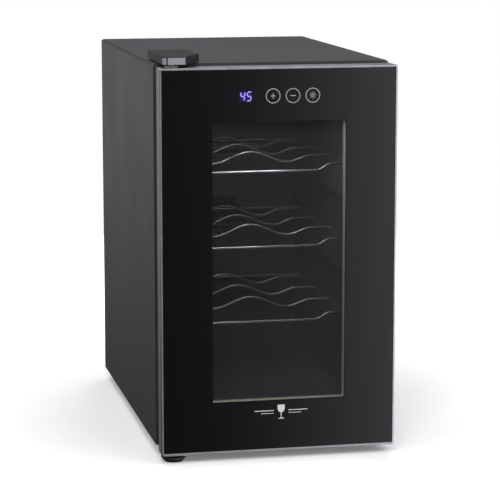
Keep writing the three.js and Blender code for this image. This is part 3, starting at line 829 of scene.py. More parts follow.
def oblong(half: float, low: float, high: float, radius: float, steps: int = 6) -> list[Flat]:
    """Outline of an upright oblong with rounded corners.

    Args:
        half: Half of its width.
        low: Its lower edge.
        high: Its upper edge.
        radius: Radius of its corners.
        steps: Faces on each corner.

    Returns:
        Points (x, z), counterclockwise seen from the front.
    """
    radius = max(radius, 0.05)
    centres = [
        (half - radius, low + radius, -0.25),
        (half - radius, high - radius, 0.0),
        (-half + radius, high - radius, 0.25),
        (-half + radius, low + radius, 0.5),
    ]
    points = []
    for x, z, start in centres:
        for step in range(steps + 1):
            angle = TURN * (start + 0.25 * step / steps)
            points.append((x + radius * math.cos(angle), z + radius * math.sin(angle)))
    return points


def framed(
    half: float, low: float, high: float, radius: float, profile: Sequence[Flat], closed: bool, steps: int = 6
) -> Solid:
    """Carries a section round an upright oblong.

    Args:
        half: Half of the oblong's width.
        low: Its lower edge.
        high: Its upper edge.
        radius: Radius of its corners.
        profile: Section as (distance inwards, depth).
        closed: The section is a closed loop; otherwise both of its ends are filled.
        steps: Faces on each corner.

    Returns:
        The solid.
    """
    rings = []
    for inset, y in profile:
        outline = oblong(half - inset, low + inset, high - inset, radius - inset, steps)
        rings.append([(x, y, z) for x, z in outline])
    return loft(rings, closed)


def circle(radius: Callable[[float], float] | float, sides: int) -> list[Flat]:
    """Points round a circle, or round a shape whose radius depends on the angle.

    Args:
        radius: The radius, or a function that gives it at an angle.
        sides: Number of points.

    Returns:
        The points, counterclockwise.
    """
    points = []
    for side in range(sides):
        angle = TURN * side / sides
        size = radius(angle) if callable(radius) else radius
        points.append((size * math.cos(angle), size * math.sin(angle)))
    return points


def stood(axis: Axis, centre: Point, outline: Sequence[Flat], at: float) -> list[Point]:
    """Places a flat outline square to an axis.

    Args:
        axis: Direction of the axis.
        centre: A point on the axis.
        outline: Points around the axis.
        at: Place along the axis.

    Returns:
        Points in space.
    """
    x, y, z = centre
    if axis is Axis.UP:
        return [(x + u, y + v, at) for u, v in outline]
    if axis is Axis.BACK:
        return [(x + u, at, z + v) for u, v in outline]
    return [(at, y + u, z + v) for u, v in outline]


def turned(
    axis: Axis, centre: Point, profile: Sequence[tuple], sides: int = 40, closed: bool = False
) -> Solid:
    """Turns a profile round an axis.

    Args:
        axis: Direction of the axis.
        centre: A point on the axis.
        profile: (radius, place along the axis); a radius may be a function of the angle.
        sides: Faces round the axis.
        closed: The profile is a closed loop, as in a ring.

    Returns:
        The solid.
    """
    return loft([stood(axis, centre, circle(radius, sides), at) for radius, at in profile], closed)


def tube(path: Sequence[Vector], radius: Callable[[float], float], sides: int = 12) -> Solid:
    """Carries a round section along a path, with domed ends.

    Args:
        path: Points of the path.
        radius: Radius at a share of the path from 0 to 1.
        sides: Faces round the section.

    Returns:
        The solid.
    """
    count = len(path)
    heading = [(path[min(i + 1, count - 1)] - path[max(i - 1, 0)]).normalized() for i in range(count)]
    side = heading[0].orthogonal().normalized()
    rings = []
    for index, (point, ahead) in enumerate(zip(path, heading)):
        side = (side - ahead * side.dot(ahead)).normalized()
        other = ahead.cross(side)
        size = radius(index / (count - 1))
        domes = [(0.0, 1.0)]
        if index == 0:
            domes = [(-0.7, 0.35), (-0.45, 0.75), (0.0, 1.0)]
        elif index == count - 1:
            domes = [(0.0, 1.0), (0.45, 0.75), (0.7, 0.35)]
        for offset, share in domes:
            centre = point + ahead * (offset * size)
            outline = circle(size * share, sides)
            rings.append([tuple(centre + side * u + other * v) for u, v in outline])
    return loft(rings)


def plate(outline: Sequence[Flat], front: float, back: float) -> Solid:
    """A flat piece of a given outline between two depths."""
    return loft([[(x, y, z) for x, z in outline] for y in (front, back)])


# ---- Pieces ---------------------------------------------------------------------------------


@dataclass
class Assembly:
    """A group of pieces of the cooler, with the ways in which they are made."""

    made: list[str] = field(default_factory=list, init=False)

    def corners(self, node: str) -> tuple[Point, Point]:
        """Lowest and highest corners of a node at rest, in millimetres."""
        low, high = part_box(node)
        return tuple(part / MM for part in low), tuple(part / MM for part in high)

    def middle(self, node: str) -> Point:
        """Centre of a node's box at rest, in millimetres."""
        return tuple((a + b) / 2 for a, b in zip(*self.corners(node)))

    def piece(
        self,
        name: str,
        solid: Solid,
        finish: Finish,
        body: Body,
        nodes: Sequence[str] = (),
        sharp: float = 35.0,
        level: bool = False,
    ) -> bpy.types.Object:
        """Makes one object from a solid.

        Args:
            name: The piece's name.
            solid: Its shape.
            finish: Its finish.
            body: The body that it rides on.
            nodes: Nodes of the frame that it stands for.
            sharp: Edges that turn by more degrees than this stay sharp.
            level: Large faces shade dead flat beside their rounded edges.

        Returns:
            The new object.
        """
        mesh = bpy.data.meshes.new(name)
        mesh.from_pydata([tuple(part * MM for part in point) for point in solid.points], [], solid.faces)
        shaped = bmesh.new()
        shaped.from_mesh(mesh)
        bmesh.ops.recalc_face_normals(shaped, faces=shaped.faces)
        shaped.to_mesh(mesh)
        shaped.free()
        mesh.shade_smooth()
        mesh.set_sharp_from_angle(angle=math.radians(sharp))
        made = bpy.data.objects.new(name, mesh)
        if level:
            made.modifiers.new("normals", "WEIGHTED_NORMAL").keep_sharp = True
        return self.settle(made, finish, body, nodes)

    def settle(
        self, made: bpy.types.Object, finish: Finish, body: Body, nodes: Sequence[str]
    ) -> bpy.types.Object:
        """Gives a new object its finish, its body and the nodes that it stands for.

        Args:
            made: The object.
            finish: Its finish.
            body: The body that it rides on.
            nodes: Nodes of the frame that it stands for.

        Returns:
            The same object.
        """
        bpy.context.scene.collection.objects.link(made)
        made.data.materials.clear()
        made.data.materials.append(finish.material())
        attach(made, body.value)
        if nodes:
            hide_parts(*nodes)
        self.made.append(made.name)
        LOG.info("%s: %s, %d faces", type(self).__name__, made.name, len(made.data.polygons))
        return made

    def eased(
        self, node: str, finish: Finish, body: Body, radius: float, name: str = "", segments: int = 2
    ) -> bpy.types.Object:
        """Stands for a node with a copy whose edges are rounded.

        Args:
            node: The node to copy.
            finish: Its finish.
            body: The body that it rides on.
            radius: Width of the rounding in millimetres.
            name: The piece's name; made from the node's when left out.
            segments: Faces across each rounded edge.

        Returns:
            The new object.
        """
        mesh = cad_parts[node].data.copy()
        mesh.name = name or node + "_eased"
        shaped = bmesh.new()
        shaped.from_mesh(mesh)
        bmesh.ops.remove_doubles(shaped, verts=shaped.verts, dist=1e-6)
        bmesh.ops.dissolve_limit(
            shaped,
            angle_limit=math.radians(1.0),
            verts=shaped.verts,
            edges=shaped.edges,
            use_dissolve_boundaries=False,
        )
        shaped.to_mesh(mesh)
        shaped.free()
        mesh.shade_smooth()
        made = bpy.data.objects.new(mesh.name, mesh)
        bevel = made.modifiers.new("rounding", "BEVEL")
        bevel.width = radius * MM
        bevel.segments = segments
        bevel.limit_method = "ANGLE"
        bevel.angle_limit = math.radians(40)
        bevel.use_clamp_overlap = True
        bevel.miter_outer = "MITER_ARC"
        weighted = made.modifiers.new("normals", "WEIGHTED_NORMAL")
        weighted.keep_sharp = False
        return self.settle(made, finish, body, [node])

    def dress(self, finish: Finish, *nodes: str) -> None:
        """Gives nodes of the frame their finish.

        Args:
            finish: The finish.
            nodes: Names of the nodes.
        """
        for node in nodes:
            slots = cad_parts[node].material_slots
            for slot in slots:
                slot.material = finish.material()
            self.made.append(node)
            LOG.info("%s: %s dressed in %s", type(self).__name__, node, finish.name)


@dataclass
class Cabinet(Assembly):
    """Outer shell, base, back panel and the lined inside."""

    fold: float = 0.9
    recess: float = 1.1
    thread: float = 0.9
    head_height: float = 2.2

    def shell(self) -> None:
        """Bent steel wrap, its base tray and the panel across the back."""
        self.eased("outer_wrap", ENAMEL, Body.CABINET, self.fold, "steel_wrap", 3)
        self.dress(GALVANISED, "base_panel")
        self.dress(ENAMEL, "back_panel")

    def screw(self, name: str, node: str, axis: Axis, outward: int, body: Body = Body.CABINET) -> None:
        """Pan-head screw with a cross recess.

        Args:
            name: The piece's name.
            node: The node that it stands for.
            axis: Direction of its shank.
            outward: +1 when its head points along the axis, -1 when against it.
            body: The body that it rides on.
        """
        low, high = self.corners(node)
        centre = self.middle(node)
        way = axis.value
        across = (way + 1) % 3
        head = (high[across] - low[across]) / 2
        shank = head / 1.9
        tip, top = (low[way], high[way]) if outward > 0 else (high[way], low[way])
        arm, width = head * 0.56, head * 0.13

        def cross(angle: float) -> float:
            """Radius of the cross recess at an angle."""
            c, s = abs(math.cos(angle)) + 1e-6, abs(math.sin(angle)) + 1e-6
            return max(min(arm / c, width / s), min(width / c, arm / s))

        profile: list[tuple] = [(0.2, tip), (shank * 0.9, tip + outward * 1.2)]
        length = abs(top - tip) - self.head_height
        turns = int((length - 2) / self.thread)
        for turn in range(turns):
            at = 1.4 + turn * self.thread
            profile += [(shank, tip + outward * at), (shank * 0.86, tip + outward * (at + self.thread / 2))]
        base = top - outward * self.head_height
        profile += [(shank, base), (head * 0.97, base), (head, base + outward * 0.3)]
        for share in (0.35, 0.65, 0.85, 1.0):
            profile.append((head * (1 - 0.32 * share**2), base + outward * (0.3 + 1.9 * share)))
        profile += [(cross, top), (lambda a: cross(a) * 0.72, top - outward * self.recess)]
        self.piece(name, turned(axis, centre, profile, 48), ZINC, body, [node], 50)

    def screws(self) -> None:
        """Screws of the back panel."""
        for index in range(1, 5):
            self.screw(f"panel_screw_{index}", f"back_screw_{index}", Axis.BACK, 1)

    def inside(self) -> None:
        """Foam, liner, light and temperature probe."""
        self.dress(FOAM, "insulation")
        self.dress(LINER, "inner_liner")
        self.eased("light_lens", LENS, Body.CABINET, 0.8, "light_diffuser", 3)
        self.dress(BOARD, "light_board")
        self.eased("temperature_probe", BLACK, Body.CABINET, 0.4, "probe_sleeve")

    def build(self) -> None:
        """Makes every piece of the cabinet."""
        self.shell()
        self.screws()
        self.inside()


@dataclass
class Fan(Assembly):
    """One axial fan: a frame that stands still and a rotor with twisted blades."""

    frame_node: str = "hot_fan_frame"
    rotor_node: str = "hot_fan_rotor"
    body: Body = Body.HOT_FAN
    blades: int = 7
    hub_share: float = 0.42
    sweep: float = 0.55
    thickness: float = 1.1
    bore: float = 2.7

    def blade(self, centre: Point, depth: tuple[float, float], hub: float, tip: float, start: float) -> Solid:
        """One twisted blade.

        Args:
            centre: Centre of the rotor.
            depth: Front and back of the blades.
            hub: Radius of the hub.
            tip: Radius of the tip.
            start: Angle of its root.

        Returns:
            The blade.
        """
        front, back = depth
        middle, reach = (front + back) / 2, (back - front) / 2
        chord = TURN / self.blades * 0.78
        rings = []
        for step in range(7):
            share = step / 6
            radius = hub - 1.2 + (tip - hub + 1.2) * share
            lean = start + self.sweep * share**1.4
            rise = reach * (0.92 - 0.25 * share)
            ring = []
            for face in (1, -1):
                count = 7
                for index in range(count):
                    along = index / (count - 1) if face > 0 else 1 - index / (count - 1)
                    skin = math.sqrt(max(math.sin(math.pi * min(max(along, 0.03), 0.97)), 0.0))
                    camber = 0.18 * reach * math.sin(math.pi * along)
                    angle = lean + chord * (along - 0.5)
                    y = middle + rise * (1 - 2 * along) + camber + face * self.thickness / 2 * skin
                    x, z = centre[0] + radius * math.cos(angle), centre[2] + radius * math.sin(angle)
                    ring.append((x, min(max(y, front), back), z))
            rings.append(ring)
        return loft(rings)

    def build(self) -> None:
        """Makes the frame and the rotor."""
        self.eased(self.frame_node, BLACK, Body.CABINET, 0.5, self.frame_node + "_moulding")
        low, high = self.corners(self.rotor_node)
        centre = self.middle(self.frame_node)
        tip = max(high[2] - centre[2], centre[2] - low[2])
        hub = tip * self.hub_share
        front, back = low[1], high[1]
        bore = self.bore
        section = [
            (bore, front), (hub - 1.6, front), (hub - 0.6, front + 0.4), (hub, front + 1.4),
            (hub, back - 0.5), (hub - 0.5, back), (hub * 0.55, back), (hub * 0.5, back - 1.2),
            (hub * 0.3, back - 1.2), (hub * 0.26, back), (bore, back),
        ]
        rotor = turned(Axis.BACK, centre, section, 56, True)
        for index in range(self.blades):
            rotor.join(self.blade(centre, (front + 0.6, back - 0.6), hub, tip, TURN * index / self.blades))
        self.piece(self.rotor_node + "_blades", rotor, BLACK, self.body, [self.rotor_node])


@dataclass
class CoolingUnit(Assembly):
    """Heat pump, its sinks, boards, covers and mains inlet."""

    rings: tuple[tuple[float, float], ...] = ((56.0, 48.0), (32.0, 29.5), (16.0, 13.5))
    bar: float = 2.4
    reach: float = 52.0
    round_edge: float = 0.6

    def guard(self) -> None:
        """Finger guard behind the hot fan: three rounded rings on three bars."""
        low, high = self.corners("fan_grille")
        centre = self.middle("fan_grille")
        front, back = low[1], high[1]
        solid = Solid()
        r = self.round_edge
        for outer, inner in self.rings:
            section = [
                (outer - r, front), (outer, front + r), (outer, back - r), (outer - r, back),
                (inner + r, back), (inner, back - r), (inner, front + r), (inner + r, front),
            ]
            solid.join(turned(Axis.BACK, centre, section, 72, True))
        for turn in range(3):
            angle = TURN * turn / 6
            c, s = math.cos(angle), math.sin(angle)
            rows = []
            for along in (-self.reach, self.reach):
                shape = oblong(self.bar / 2, front + 0.1, back - 0.1, 0.5, 3)
                x, z = centre[0] + along * c, centre[2] + along * s
                rows.append([(x - u * s, y, z + u * c) for u, y in shape])
            solid.join(loft(rows))
        self.piece("rear_guard", solid, BLACK, Body.CABINET, ["fan_grille"], 50)

    def build(self) -> None:
        """Makes every piece of the cooling unit."""
        cold = Fan("cold_fan_frame", "cold_fan_rotor", Body.COLD_FAN, blades=9, sweep=0.4, bore=2.2)
        for fan in (Fan(), cold):
            fan.build()
            self.made += fan.made
        self.eased("fan_cover", LINER, Body.CABINET, 0.3, "air_cover")
        self.guard()
        self.dress(ALUMINIUM, "cold_sink", "hot_sink", "cold_block")
        self.dress(CERAMIC, "thermoelectric_module")
        self.dress(BOARD, "power_board")
        self.eased("power_inlet", BLACK, Body.CABINET, 0.4, "mains_inlet")


@dataclass
class Feet(Assembly):
    """Screw-in feet with gripping flutes; the one under the hinge has a longer stem."""

    flutes: int = 18
    flute_depth: float = 0.55
    stem: float = 3.0
    usual_stem: float = 15.0
    hinge_stem: float = 16.1

    def foot(self, node: str) -> None:
        """One foot: a soft pad, a fluted rim and a threaded stem.

        Args:
            node: The node that it stands for.
        """
        low, high = self.corners(node)
        centre = self.middle(node)
        radius = (high[0] - low[0]) / 2
        stem_top = high[2]
        wall = max(stem_top - (self.hinge_stem if node == "foot_front_left" else self.usual_stem), 4.0)

        def fluted(angle: float) -> float:
            """Radius of the fluted rim at an angle."""
            return radius - self.flute_depth * max(0.0, math.cos(angle * self.flutes)) ** 2

        profile: list[tuple] = [
            (radius - 8.0, 0.5), (radius - 7.4, 0.0), (radius - 5.2, 0.0), (radius - 4.5, 0.3),
            (radius - 2.4, 2.6), (radius - 0.9, 4.2), (fluted, 5.2 if wall > 6 else 4.8),
            (fluted, wall - 0.6), (radius - 0.7, wall), (self.stem + 2.2, wall), (self.stem, wall - 0.2),
        ]
        turns = int((stem_top - wall - 0.6) / 1.0)
        for turn in range(turns):
            at = wall + 0.1 + turn
            profile += [(self.stem, at + 0.25), (self.stem - 0.45, at + 0.75)]
        profile.append((self.stem - 0.5, stem_top))
        self.piece(node + "_pad", turned(Axis.UP, centre, profile, 108), FOOT, Body.CABINET, [node], 32)

    def build(self) -> None:
        """Makes the four feet."""
        for node in ("foot_front_left", "foot_front_right", "foot_rear_left", "foot_rear_right"):
            self.foot(node)


@dataclass
class Hinges(Assembly):
    """Brackets, pins, bearings and the cap over the top hinge."""

    cap_edge: float = 1.2

    def build(self) -> None:
        """Makes every piece of both hinges."""
        self.eased("top_hinge_cover", CAP, Body.CABINET, self.cap_edge, "hinge_cap", 4)
        self.eased("top_hinge_bracket", ENAMEL, Body.CABINET, 0.4, "upper_plate")
        self.eased("lower_hinge_bracket", ZINC, Body.CABINET, 0.5, "lower_plate")
        self.eased("top_hinge_pin", ZINC, Body.CABINET, 0.4, "upper_pin")
        self.eased("lower_hinge_pin", ZINC, Body.CABINET, 0.4, "lower_pin")
        self.dress(NYLON, "top_bushing", "bottom_bushing")
        cabinet = Cabinet()
        for index in (1, 2):
            cabinet.screw(f"upper_screw_{index}", f"top_hinge_screw_{index}", Axis.UP, 1)
            cabinet.screw(f"lower_screw_{index}", f"lower_hinge_screw_{index}", Axis.UP, -1)
        self.made += cabinet.made


@dataclass
class Door(Assembly):
    """Glazed door: bright trim, printed glass, frame, inner plate and gasket."""

    edge: float = 0.5
    lip: float = 2.5
    ledge: float = 8.0
    polish: float = 0.35
    spacer_width: float = 9.0
    gasket_width: float = 11.0

    def trim(self) -> None:
        """Bright rim whose lip shows round the glass."""
        low, high = self.corners("front_trim")
        front, back = low[1], high[1]
        step = back - 2.0
        profile = [
            (0.0, back - 0.2), (0.2, back), (self.ledge, back), (self.ledge, step), (self.lip, step),
            (self.lip, front + 0.25), (self.lip - 0.25, front), (self.edge, front),
            (self.edge * 0.3, front + self.edge * 0.3), (0.0, front + self.edge),
        ]
        solid = framed(high[0], low[2], high[2], 2.0, profile, True, 8)
        self.piece("bright_rim", solid, TRIM, Body.DOOR, ["front_trim"], 30, True)

    def pane(self, name: str, node: str, finish: Finish) -> None:
        """A pane with polished edges.

        Args:
            name: The piece's name.
            node: The node that it stands for.
            finish: Its finish.
        """
        low, high = self.corners(node)
        p = self.polish
        front, back = low[1], high[1]
        profile = [(p, front), (p * 0.3, front + p * 0.3), (0.0, front + p), (0.0, back - p), (p, back)]
        solid = framed(high[0], low[2], high[2], 1.0, profile, False, 4)
        self.piece(name, solid, finish, Body.DOOR, [node], 50, True)

    def spacer(self) -> None:
        """Spacer bar between the panes, with the seam along its sight face."""
        low, high = self.corners("glazing_spacer")
        width = self.spacer_width
        front, back = low[1], high[1]
        middle = (front + back) / 2
        profile = [
            (0.4, front), (width - 1.0, front), (width, front + 1.0), (width, middle - 0.5),
            (width - 0.35, middle), (width, middle + 0.5), (width, back - 1.0), (width - 1.0, back),
            (0.4, back), (0.0, back - 0.4), (0.0, front + 0.4),
        ]
        solid = framed(high[0], low[2], high[2], 0.0, profile, True, 3)
        self.piece("spacer_bar", solid, SPACER, Body.DOOR, ["glazing_spacer"], 30)

    def gasket(self) -> None:
        """Magnetic gasket: a foot in the door's groove, a bellows and the magnet's sleeve."""
        low, high = self.corners("door_gasket")
        front, back = low[1], high[1]
        depth = back - front
        width = self.gasket_width
        section = [
            (2.2, 0.0), (3.0, 0.16), (1.9, 0.30), (0.5, 0.42), (0.0, 0.55), (0.4, 0.66), (0.1, 0.74),
            (0.0, 0.88), (0.5, 1.0), (4.5, 0.985), (width - 2.2, 1.0), (width - 1.7, 0.86),
            (width - 2.4, 0.72), (width - 0.6, 0.60), (width, 0.46), (width - 0.4, 0.33),
            (width - 2.3, 0.2), (width - 3.0, 0.1), (width - 2.6, 0.0),
        ]
        profile = [(inset, front + depth * share) for inset, share in section]
        solid = framed(high[0], low[2], high[2], 4.0, profile, True, 8)
        self.piece("magnetic_gasket", solid, GASKET, Body.DOOR, ["door_gasket"], 50)

    def build(self) -> None:
        """Makes every piece of the door."""
        self.trim()
        self.pane("front_pane", "outer_glass", GLASS)
        self.pane("rear_pane", "inner_glass", PANE)
        self.dress(INK, "glass_print")
        self.spacer()
        self.eased("door_frame", FRAME, Body.DOOR, 0.7, "door_core", 3)
        self.eased("door_liner", LINER, Body.DOOR, 0.6, "door_inner", 3)
        self.gasket()
        self.dress(BOARD, "control_board")
        self.dress(BLACK, "display_module")
        self.dress(NYLON, "touch_pad_plus", "touch_pad_minus", "touch_pad_light")


@dataclass
class Controls(Assembly):
    """Lit digits, touch rings and a small pictogram, all on the face of the glass."""

    line: float = 444.0
    ring: float = 8.9
    stroke: float = 1.0
    ray: float = 3.3
    film: float = 0.08
    digit: tuple[float, float] = (6.2, 11.9)
    bar: float = 1.5
    slant: float = 0.12
    starts: tuple[float, float] = (-48.2, -40.4)
    shown: tuple[int, int] = (4, 5)
    plus_width: float = 6.2
    minus_width: float = 7.0
    mark_at: Flat = (2.5, 50.5)

    def layer(self) -> tuple[float, float]:
        """Front and back of a film on the glass."""
        face = self.corners("outer_glass")[0][1]
        return face - self.film, face + self.film / 2

    def segment(self, start: Flat, end: Flat) -> list[Flat]:
        """Pointed bar between two corners of a digit.

        Args:
            start: One corner.
            end: The next corner.

        Returns:
            Its outline.
        """
        (x0, z0), (x1, z1) = start, end
        length = math.hypot(x1 - x0, z1 - z0)
        ux, uz = (x1 - x0) / length, (z1 - z0) / length
        half, clear = self.bar / 2, 0.28
        ends = ((clear, 0.0), (clear + half, half), (length - clear - half, half))
        ends += ((length - clear, 0.0), (length - clear - half, -half), (clear + half, -half))
        return [(x0 + ux * a - uz * b, z0 + uz * a + ux * b) for a, b in ends]

    def number(self) -> Solid:
        """Two slanted digits made of lit bars.

        Returns:
            The digits.
        """
        wide, tall = self.digit
        inset = self.bar / 2
        left, right = inset, wide - inset
        low, middle, high = inset, tall / 2, tall - inset
        bars = {
            "a": ((left, high), (right, high)), "b": ((right, middle), (right, high)),
            "c": ((right, low), (right, middle)), "d": ((left, low), (right, low)),
            "e": ((left, low), (left, middle)), "f": ((left, middle), (left, high)),
            "g": ((left, middle), (right, middle)),
        }
        lit = {4: "fgbc", 5: "afgcd"}
        front, back = self.layer()
        solid = Solid()
        for start, value in zip(self.starts, self.shown):
            for key in lit[value]:
                outline = [
                    (start + x + self.slant * (z - tall / 2), self.line - tall / 2 + z)
                    for x, z in self.segment(*bars[key])
                ]
                solid.join(plate(outline, front, back))
        return solid

    def hoop(self, x: float, outer: float, inner: float) -> Solid:
        """Flat ring on the glass.

        Args:
            x: Its centre across the door.
            outer: Its outer radius.
            inner: Its inner radius.

        Returns:
            The ring.
        """
        front, back = self.layer()
        section = [(outer, front), (outer, back), (inner, back), (inner, front)]
        return turned(Axis.BACK, (x, 0.0, self.line), section, 56, True)

    def stick(self, x: float, z: float, length: float, width: float, angle: float) -> Solid:
        """Short printed line with rounded ends.

        Args:
            x: Its middle across the door.
            z: Its middle above the floor.
            length: Its length.
            width: Its width.
            angle: How far it leans from level.

        Returns:
            The line.
        """
        front, back = self.layer()
        shape = oblong(length / 2, -width / 2, width / 2, width * 0.48, 4)
        c, s = math.cos(angle), math.sin(angle)
        return plate([(x + u * c - v * s, z + u * s + v * c) for u, v in shape], front, back)

    def touch(self, node: str, icon: Icon) -> None:
        """One touch ring with its icon.

        Args:
            node: Touch pad behind the ring.
            icon: What the ring holds.
        """
        x = self.middle(node)[0]
        solid = self.hoop(x, self.ring, self.ring - self.stroke)
        if icon is Icon.LIGHT:
            solid.join(self.hoop(x, 1.9, 1.05))
            for ray in range(8):
                angle = TURN * ray / 8
                out, up = self.ray * math.cos(angle), self.ray * math.sin(angle)
                solid.join(self.stick(x + out, self.line + up, 1.7, 0.65, angle))
        else:
            across = self.plus_width if icon is Icon.PLUS else self.minus_width
            solid.join(self.stick(x, self.line, across, 1.0, 0.0))
            if icon is Icon.PLUS:
                for side in (-1, 1):
                    solid.join(self.stick(x, self.line + side * 1.85, 2.5, 1.0, math.pi / 2))
        self.piece(f"ring_{icon.value}", solid, SYMBOL, Body.DOOR)

    def pictogram(self) -> Solid:
        """A plain wine glass between two short rules.

        Returns:
            The pictogram.
        """
        front, back = self.layer()
        centre, base = self.mark_at
        bowl = [(-4.2, 17.5), (-4.6, 13.2), (-3.6, 9.9), (-1.6, 8.2)]
        bowl += [(-0.45, 7.7), (-0.45, 1.3), (-3.6, 0.7), (-3.6, 0.0)]
        outline = [(centre + x, base + z) for x, z in bowl]
        outline += [(centre - x, base + z) for x, z in reversed(bowl)]
        solid = plate(outline, front, back)
        for side in (-1, 1):
            solid.join(self.stick(centre + side * 21, base + 10.5, 24, 0.9, 0.0))
            solid.join(self.stick(centre + side * 17, base + 7.2, 16, 0.6, 0.0))
        return solid

    def build(self) -> None:
        """Makes the digits, the rings and the pictogram."""
        self.piece("display_digits", self.number(), DIGITS, Body.DOOR)
        self.touch("touch_pad_plus", Icon.PLUS)
        self.touch("touch_pad_minus", Icon.MINUS)
        self.touch("touch_pad_light", Icon.LIGHT)
        self.piece("glass_mark", self.pictogram(), MARK, Body.DOOR)


@dataclass
class Rack(Assembly):
    """Wire rack: a bent frame, a rear bar and three wavy wires welded across."""

    node: str = "rack_lower"
    body: Body = Body.LOWER
    gauge: float = 2.0
    wire: float = 1.75
    corner: float = 17.0
    dip: float = 7.5
    dip_from: float = 25.0
    dip_run: float = 17.0
    first: float = 92.0
    last: float = 14.0
    waves: int = 3
    crest: float = 6.0
    valley: float = 8.0
    shoulder: float = 27.0
    margin: float = 9.0
    weld: float = 0.2

    def eased_run(self, start: Vector, end: Vector, count: int) -> list[Vector]:
        """Points from one place to another, level at both.

        Args:
            start: The first point.
            end: The last point.
            count: Number of steps.

        Returns:
            The points.
        """
        points = []
        for step in range(count + 1):
            share = step / count
            point = start.lerp(end, share)
            point.z = start.z + (end.z - start.z) * (1 - math.cos(math.pi * share)) / 2
            points.append(point)
        return points

    def bend(self, centre: Flat, start: float, z: float) -> list[Vector]:
        """Points round a corner of the frame.

        Args:
            centre: Centre of the bend.
            start: Where the bend starts, as a share of a turn.
            z: Its height.

        Returns:
            The points.
        """
        points = []
        for step in range(13):
            angle = TURN * (start + 0.25 * step / 12)
            x, y = self.corner * math.cos(angle), self.corner * math.sin(angle)
            points.append(Vector((centre[0] + x, centre[1] + y, z)))
        return points

    def build(self) -> None:
        """Makes the rack as one welded piece."""
        low, high = self.corners(self.node)
        flat = self.gauge * math.cos(math.pi / 6)
        rail, front, rear = high[0] - flat, low[1] + flat, high[1] - flat
        z = (low[2] + high[2]) / 2 + (self.valley - self.crest) / 2
        bend_x = rail - self.dip_from
        path = [Vector((-rail, rear, z)), Vector((-rail, (front + rear) / 2, z))]
        path += self.bend((-rail + self.corner, front + self.corner), 0.5, z)
        dip_x, dip_z = bend_x - self.dip_run, z - self.dip
        path += self.eased_run(Vector((-bend_x, front, z)), Vector((-dip_x, front, dip_z)), 12)
        path += self.eased_run(Vector((dip_x, front, dip_z)), Vector((bend_x, front, z)), 12)
        path += self.bend((rail - self.corner, front + self.corner), 0.75, z)
        path += [Vector((rail, (front + rear) / 2, z)), Vector((rail, rear, z))]
        wire = self.wire
        solid = tube(path, lambda share: wire, 14)

        def welded(share: float) -> float:
            """Radius of a cross wire, with a weld at each end."""
            near = min(share, 1 - share)
            return wire + self.weld * math.exp(-((near / 0.012) ** 2))

        bar = [Vector((-rail - 0.6 + (2 * rail + 1.2) * step / 80, rear, z)) for step in range(81)]
        solid.join(tube(bar, welded, 14))
        valley_x = (rail - self.margin) / 2
        turns = [(0.0, self.crest), (valley_x, -self.valley), (rail - self.shoulder, 0.0), (rail, 0.0)]
        start, end = front + self.first, rear - self.last
        for wave in range(self.waves):
            y = start + (end - start) * wave / (self.waves - 1)
            right: list[Vector] = []
            for (x0, z0), (x1, z1) in zip(turns, turns[1:]):
                run = self.eased_run(Vector((x0, y, z + z0)), Vector((x1, y, z + z1)), 16)
                right += run if not right else run[1:]
            left = [Vector((-point.x, y, point.z)) for point in reversed(right[1:])]
            solid.join(tube(left + right, welded, 14))
        self.piece(self.node + "_wires", solid, WIRE, self.body, [self.node], 60)


